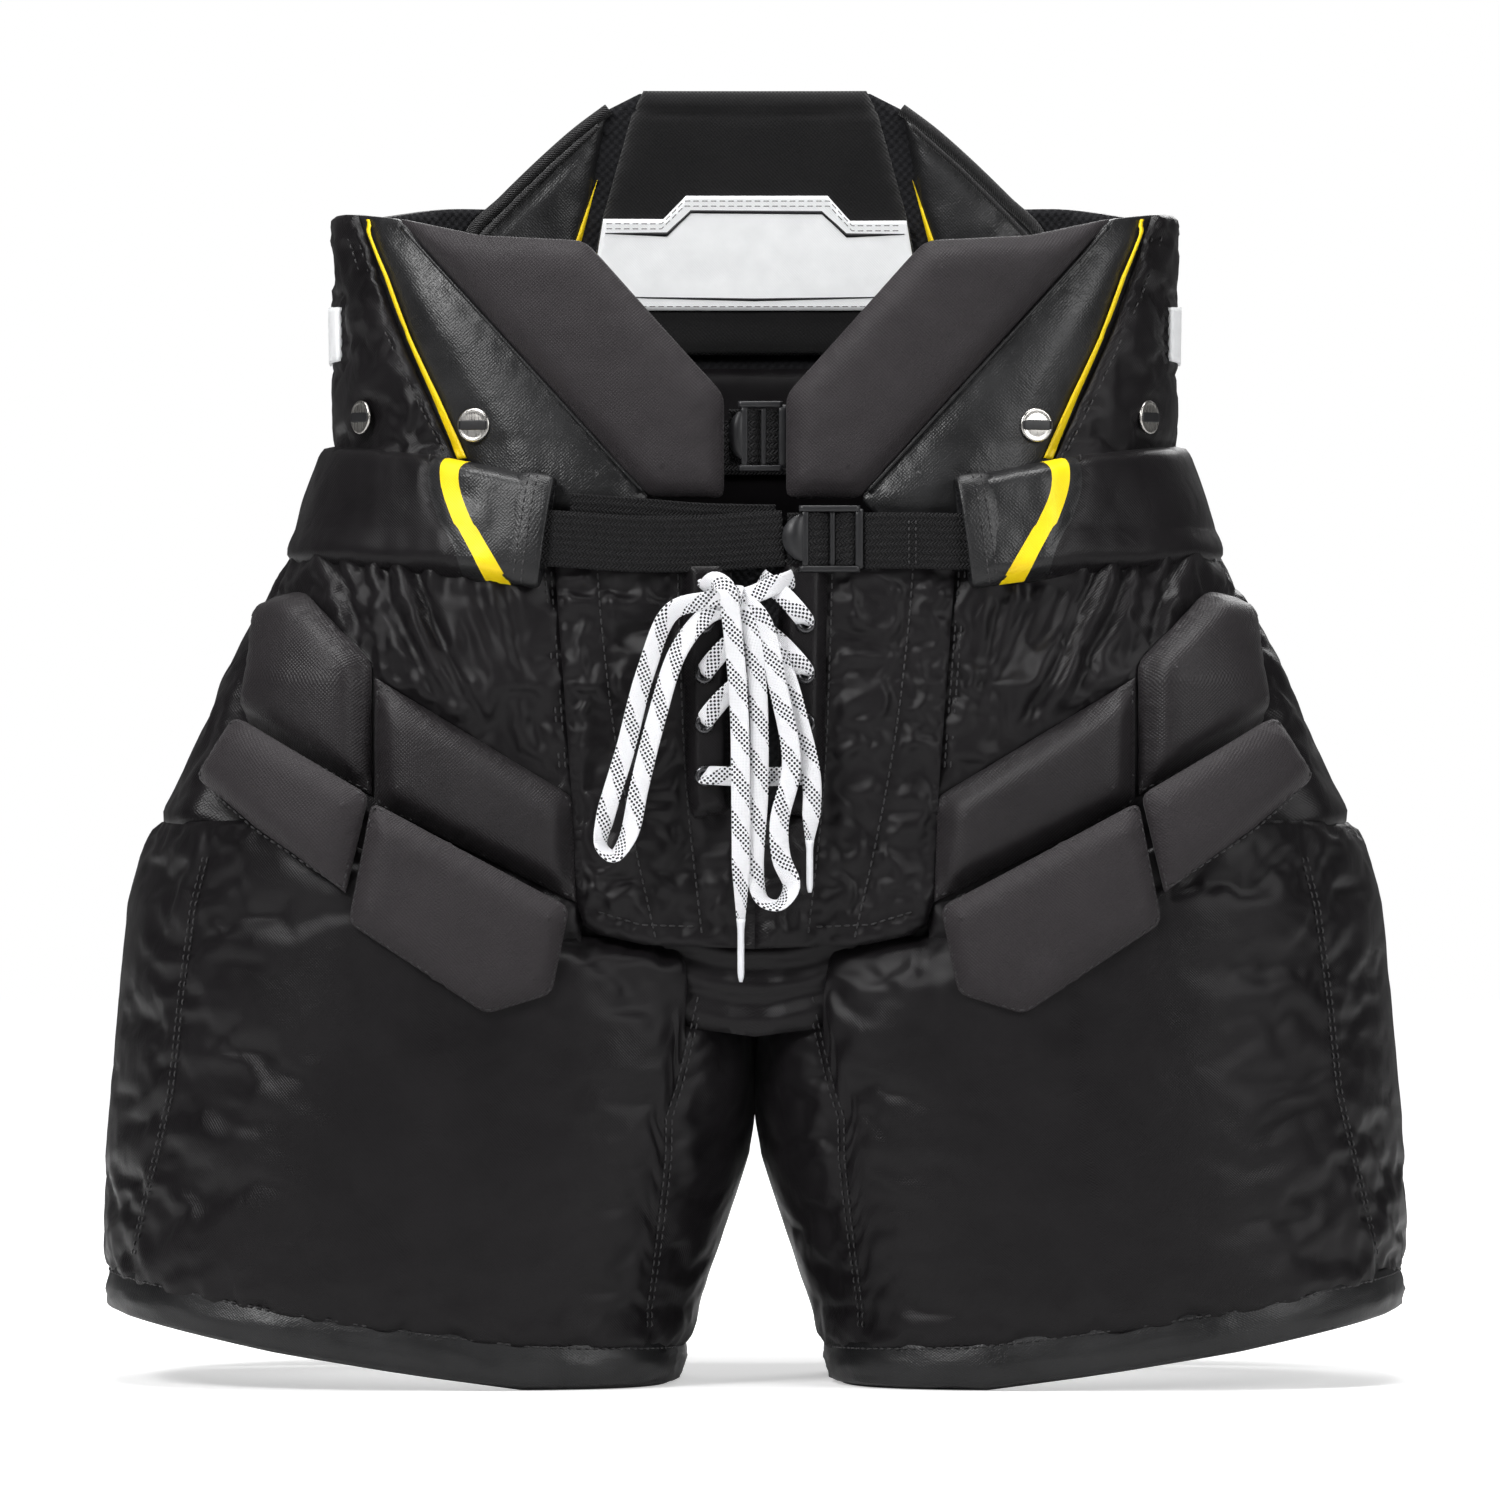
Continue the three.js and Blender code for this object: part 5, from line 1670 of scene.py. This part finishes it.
def make_inside():
    patch = Patch(TORSO, TORSO.region(TONGUE), 4.0)
    patch.lift = -9.6 + 0.5 * Noise(950).at(patch.uv[:, 0] / 20, patch.uv[:, 1] / 14, 2)
    attach(patch.close("fly_tongue", -13.2, [LINER, LINER]), "waist", "fly_tongue")
    for name, side in SIDES.items():
        foam_piece(f"thigh_guard_{name}", f"leg_{name}", LEG, THIGH_GUARD, side, low=-7.6, high=-7.2,
                   back=-15, flange=2, bevel=6, crown=0.0, material=FOAM, spacing=6.0, stitched=False,
                   ripple=0.1)
    patch = Patch(TORSO, TORSO.region(SKIRT), 4.0)
    u, z = patch.uv.T
    sag = z - 0.005 * u ** 2
    patch.lift = -9.0 + 2.0 * np.sin(sag / 2.6) + 1.2 * Noise(955).at(u / 22, z / 9, 2)
    attach(patch.close("fly_skirt", -11.5, [NYLON, LINER]), "waist")
    pad = Patch(TORSO_BACK, TORSO_BACK.region(LUMBAR_PAD), 4.0)
    pad.lift = -pillow(pad.edge, 2, 10, 9.2, 12.0, 0.0)
    obj = pad.close("lumbar_pad", -8.4, [NYLON, NYLON], inward=True)
    attach(obj, "waist")
    make_gusset()


def make_gusset():
    """The saddle of cloth between the legs: a bent strip that dips across the middle."""
    ys = np.linspace(-98, 112, 53)
    height = np.interp(ys, [-98, -60, 0, 60, 112], [208, 201, 196, 201, 214])
    xs = np.linspace(-49, 49, 29)
    noise = Noise(960)
    upper, lower = [], []
    for y, z in zip(ys, height):
        for x in xs:
            ripple = 1.3 * noise.at(np.array(y / 14.0), np.array(x / 30.0), 2)
            dip = -9.0 * math.cos(x / 49 * math.pi / 2) + float(ripple)
            upper.append((x, y, z + dip + 2))
            lower.append((x, y, z + dip - 6))
    points = np.array(upper + lower)
    columns, count, faces = len(xs), len(upper), []
    for i in range(len(ys) - 1):
        for k in range(columns - 1):
            a = i * columns + k
            faces.append((a, a + 1, a + columns + 1, a + columns))
            faces.append(tuple(count + v for v in (a, a + columns, a + columns + 1, a + 1)))
    ring = (list(range(columns)) + [i * columns + columns - 1 for i in range(1, len(ys))]
            + [(len(ys) - 1) * columns + k for k in range(columns - 2, -1, -1)]
            + [i * columns for i in range(len(ys) - 2, 0, -1)])
    for a, b in zip(ring, ring[1:] + ring[:1]):
        faces.append((b, a, a + count, b + count))
    obj = new_object("crotch_gusset", points, faces, points[:, :2], [NYLON])
    attach(fix_normals(obj), "waist", "crotch_gusset")


for side_name, side in SIDES.items():
    make_waist_trim(side_name, side)
    make_belt_wing(side_name, side)
    make_eyelets(side_name, side)
    make_button("inner", side_name, side, 139, 479)
    make_button("outer", side_name, side, 195, 484)
make_belt()
make_spine_guard()
make_inside()


# ---------------------------------------------------------------- studio

def area_light(name, location, aim_height, size, power):
    data = bpy.data.lights.new(name, "AREA")
    data.shape, data.size, data.size_y, data.energy = "RECTANGLE", size[0], size[1], power
    light = bpy.data.objects.new(name, data)
    light.location = location
    way = Vector((0, 0, aim_height)) - Vector(location)
    light.rotation_euler = way.to_track_quat("-Z", "Y").to_euler()
    bpy.context.scene.collection.objects.link(light)


SURROUND = 0.10
FLOOR_HALF = 9000
# The floor's glow grows from the first strength to the second between two distances in metres.
FLOOR_GLOW = (0.45, 1.0)
GLOW_FROM, GLOW_FULL = 0.3, 1.0


def make_world():
    """White to look at, but only a dim surround lights the cloth, so that black stays black."""
    scene = bpy.context.scene
    scene.view_settings.view_transform = "Standard"
    scene.world = bpy.data.worlds.new("studio")
    scene.world.use_nodes = True
    tree = scene.world.node_tree
    backdrop = tree.nodes["Background"]
    seen = tree.nodes.new("ShaderNodeBackground")
    for node in (backdrop, seen):
        node.inputs["Color"].default_value = (1, 1, 1, 1)
    backdrop.inputs["Strength"].default_value = SURROUND
    path, mix = tree.nodes.new("ShaderNodeLightPath"), tree.nodes.new("ShaderNodeMixShader")
    tree.links.new(path.outputs["Is Camera Ray"], mix.inputs[0])
    tree.links.new(backdrop.outputs[0], mix.inputs[1])
    tree.links.new(seen.outputs[0], mix.inputs[2])
    tree.links.new(mix.outputs[0], tree.nodes["World Output"].inputs["Surface"])


def make_floor():
    """A pale floor that fades into the white of the backdrop."""
    material = bpy.data.materials.new("studio_floor")
    material.use_nodes = True
    tree = material.node_tree
    shader = tree.nodes["Principled BSDF"]
    shader.inputs["Base Color"].default_value = (0.8, 0.8, 0.8, 1)
    shader.inputs["Roughness"].default_value = 0.9
    shader.inputs["Emission Color"].default_value = (1, 1, 1, 1)
    path, glow = tree.nodes.new("ShaderNodeLightPath"), tree.nodes.new("ShaderNodeMath")
    place, reach = tree.nodes.new("ShaderNodeNewGeometry"), tree.nodes.new("ShaderNodeVectorMath")
    spread = tree.nodes.new("ShaderNodeMapRange")
    reach.operation, glow.operation = "LENGTH", "MULTIPLY"
    for socket, value in zip(spread.inputs[1:5], (GLOW_FROM, GLOW_FULL, *FLOOR_GLOW)):
        socket.default_value = value
    tree.links.new(place.outputs["Position"], reach.inputs[0])
    tree.links.new(reach.outputs["Value"], spread.inputs[0])
    tree.links.new(path.outputs["Is Camera Ray"], glow.inputs[0])
    tree.links.new(spread.outputs[0], glow.inputs[1])
    tree.links.new(glow.outputs[0], shader.inputs["Emission Strength"])
    square = [(x * FLOOR_HALF, y * FLOOR_HALF, 0) for x, y in ((-1, -1), (1, -1), (1, 1), (-1, 1))]
    new_object("floor", square, [(0, 1, 2, 3)], materials=[material])


# Each light's name, place, height that it aims at, size and power.
LIGHTS = [
    ("key", (-1.5, -1.9, 2.0), 0.35, (0.9, 0.9), 62),
    ("fill", (1.9, -1.8, 1.3), 0.3, (1.0, 1.0), 26),
    ("top", (0, -0.2, 2.3), 0.3, (1.4, 0.7), 40),
    ("rear", (0.5, 2.2, 1.7), 0.35, (1.6, 1.2), 30),
]
make_world()
make_floor()
for light in LIGHTS:
    area_light(*light)
THREADS.make()
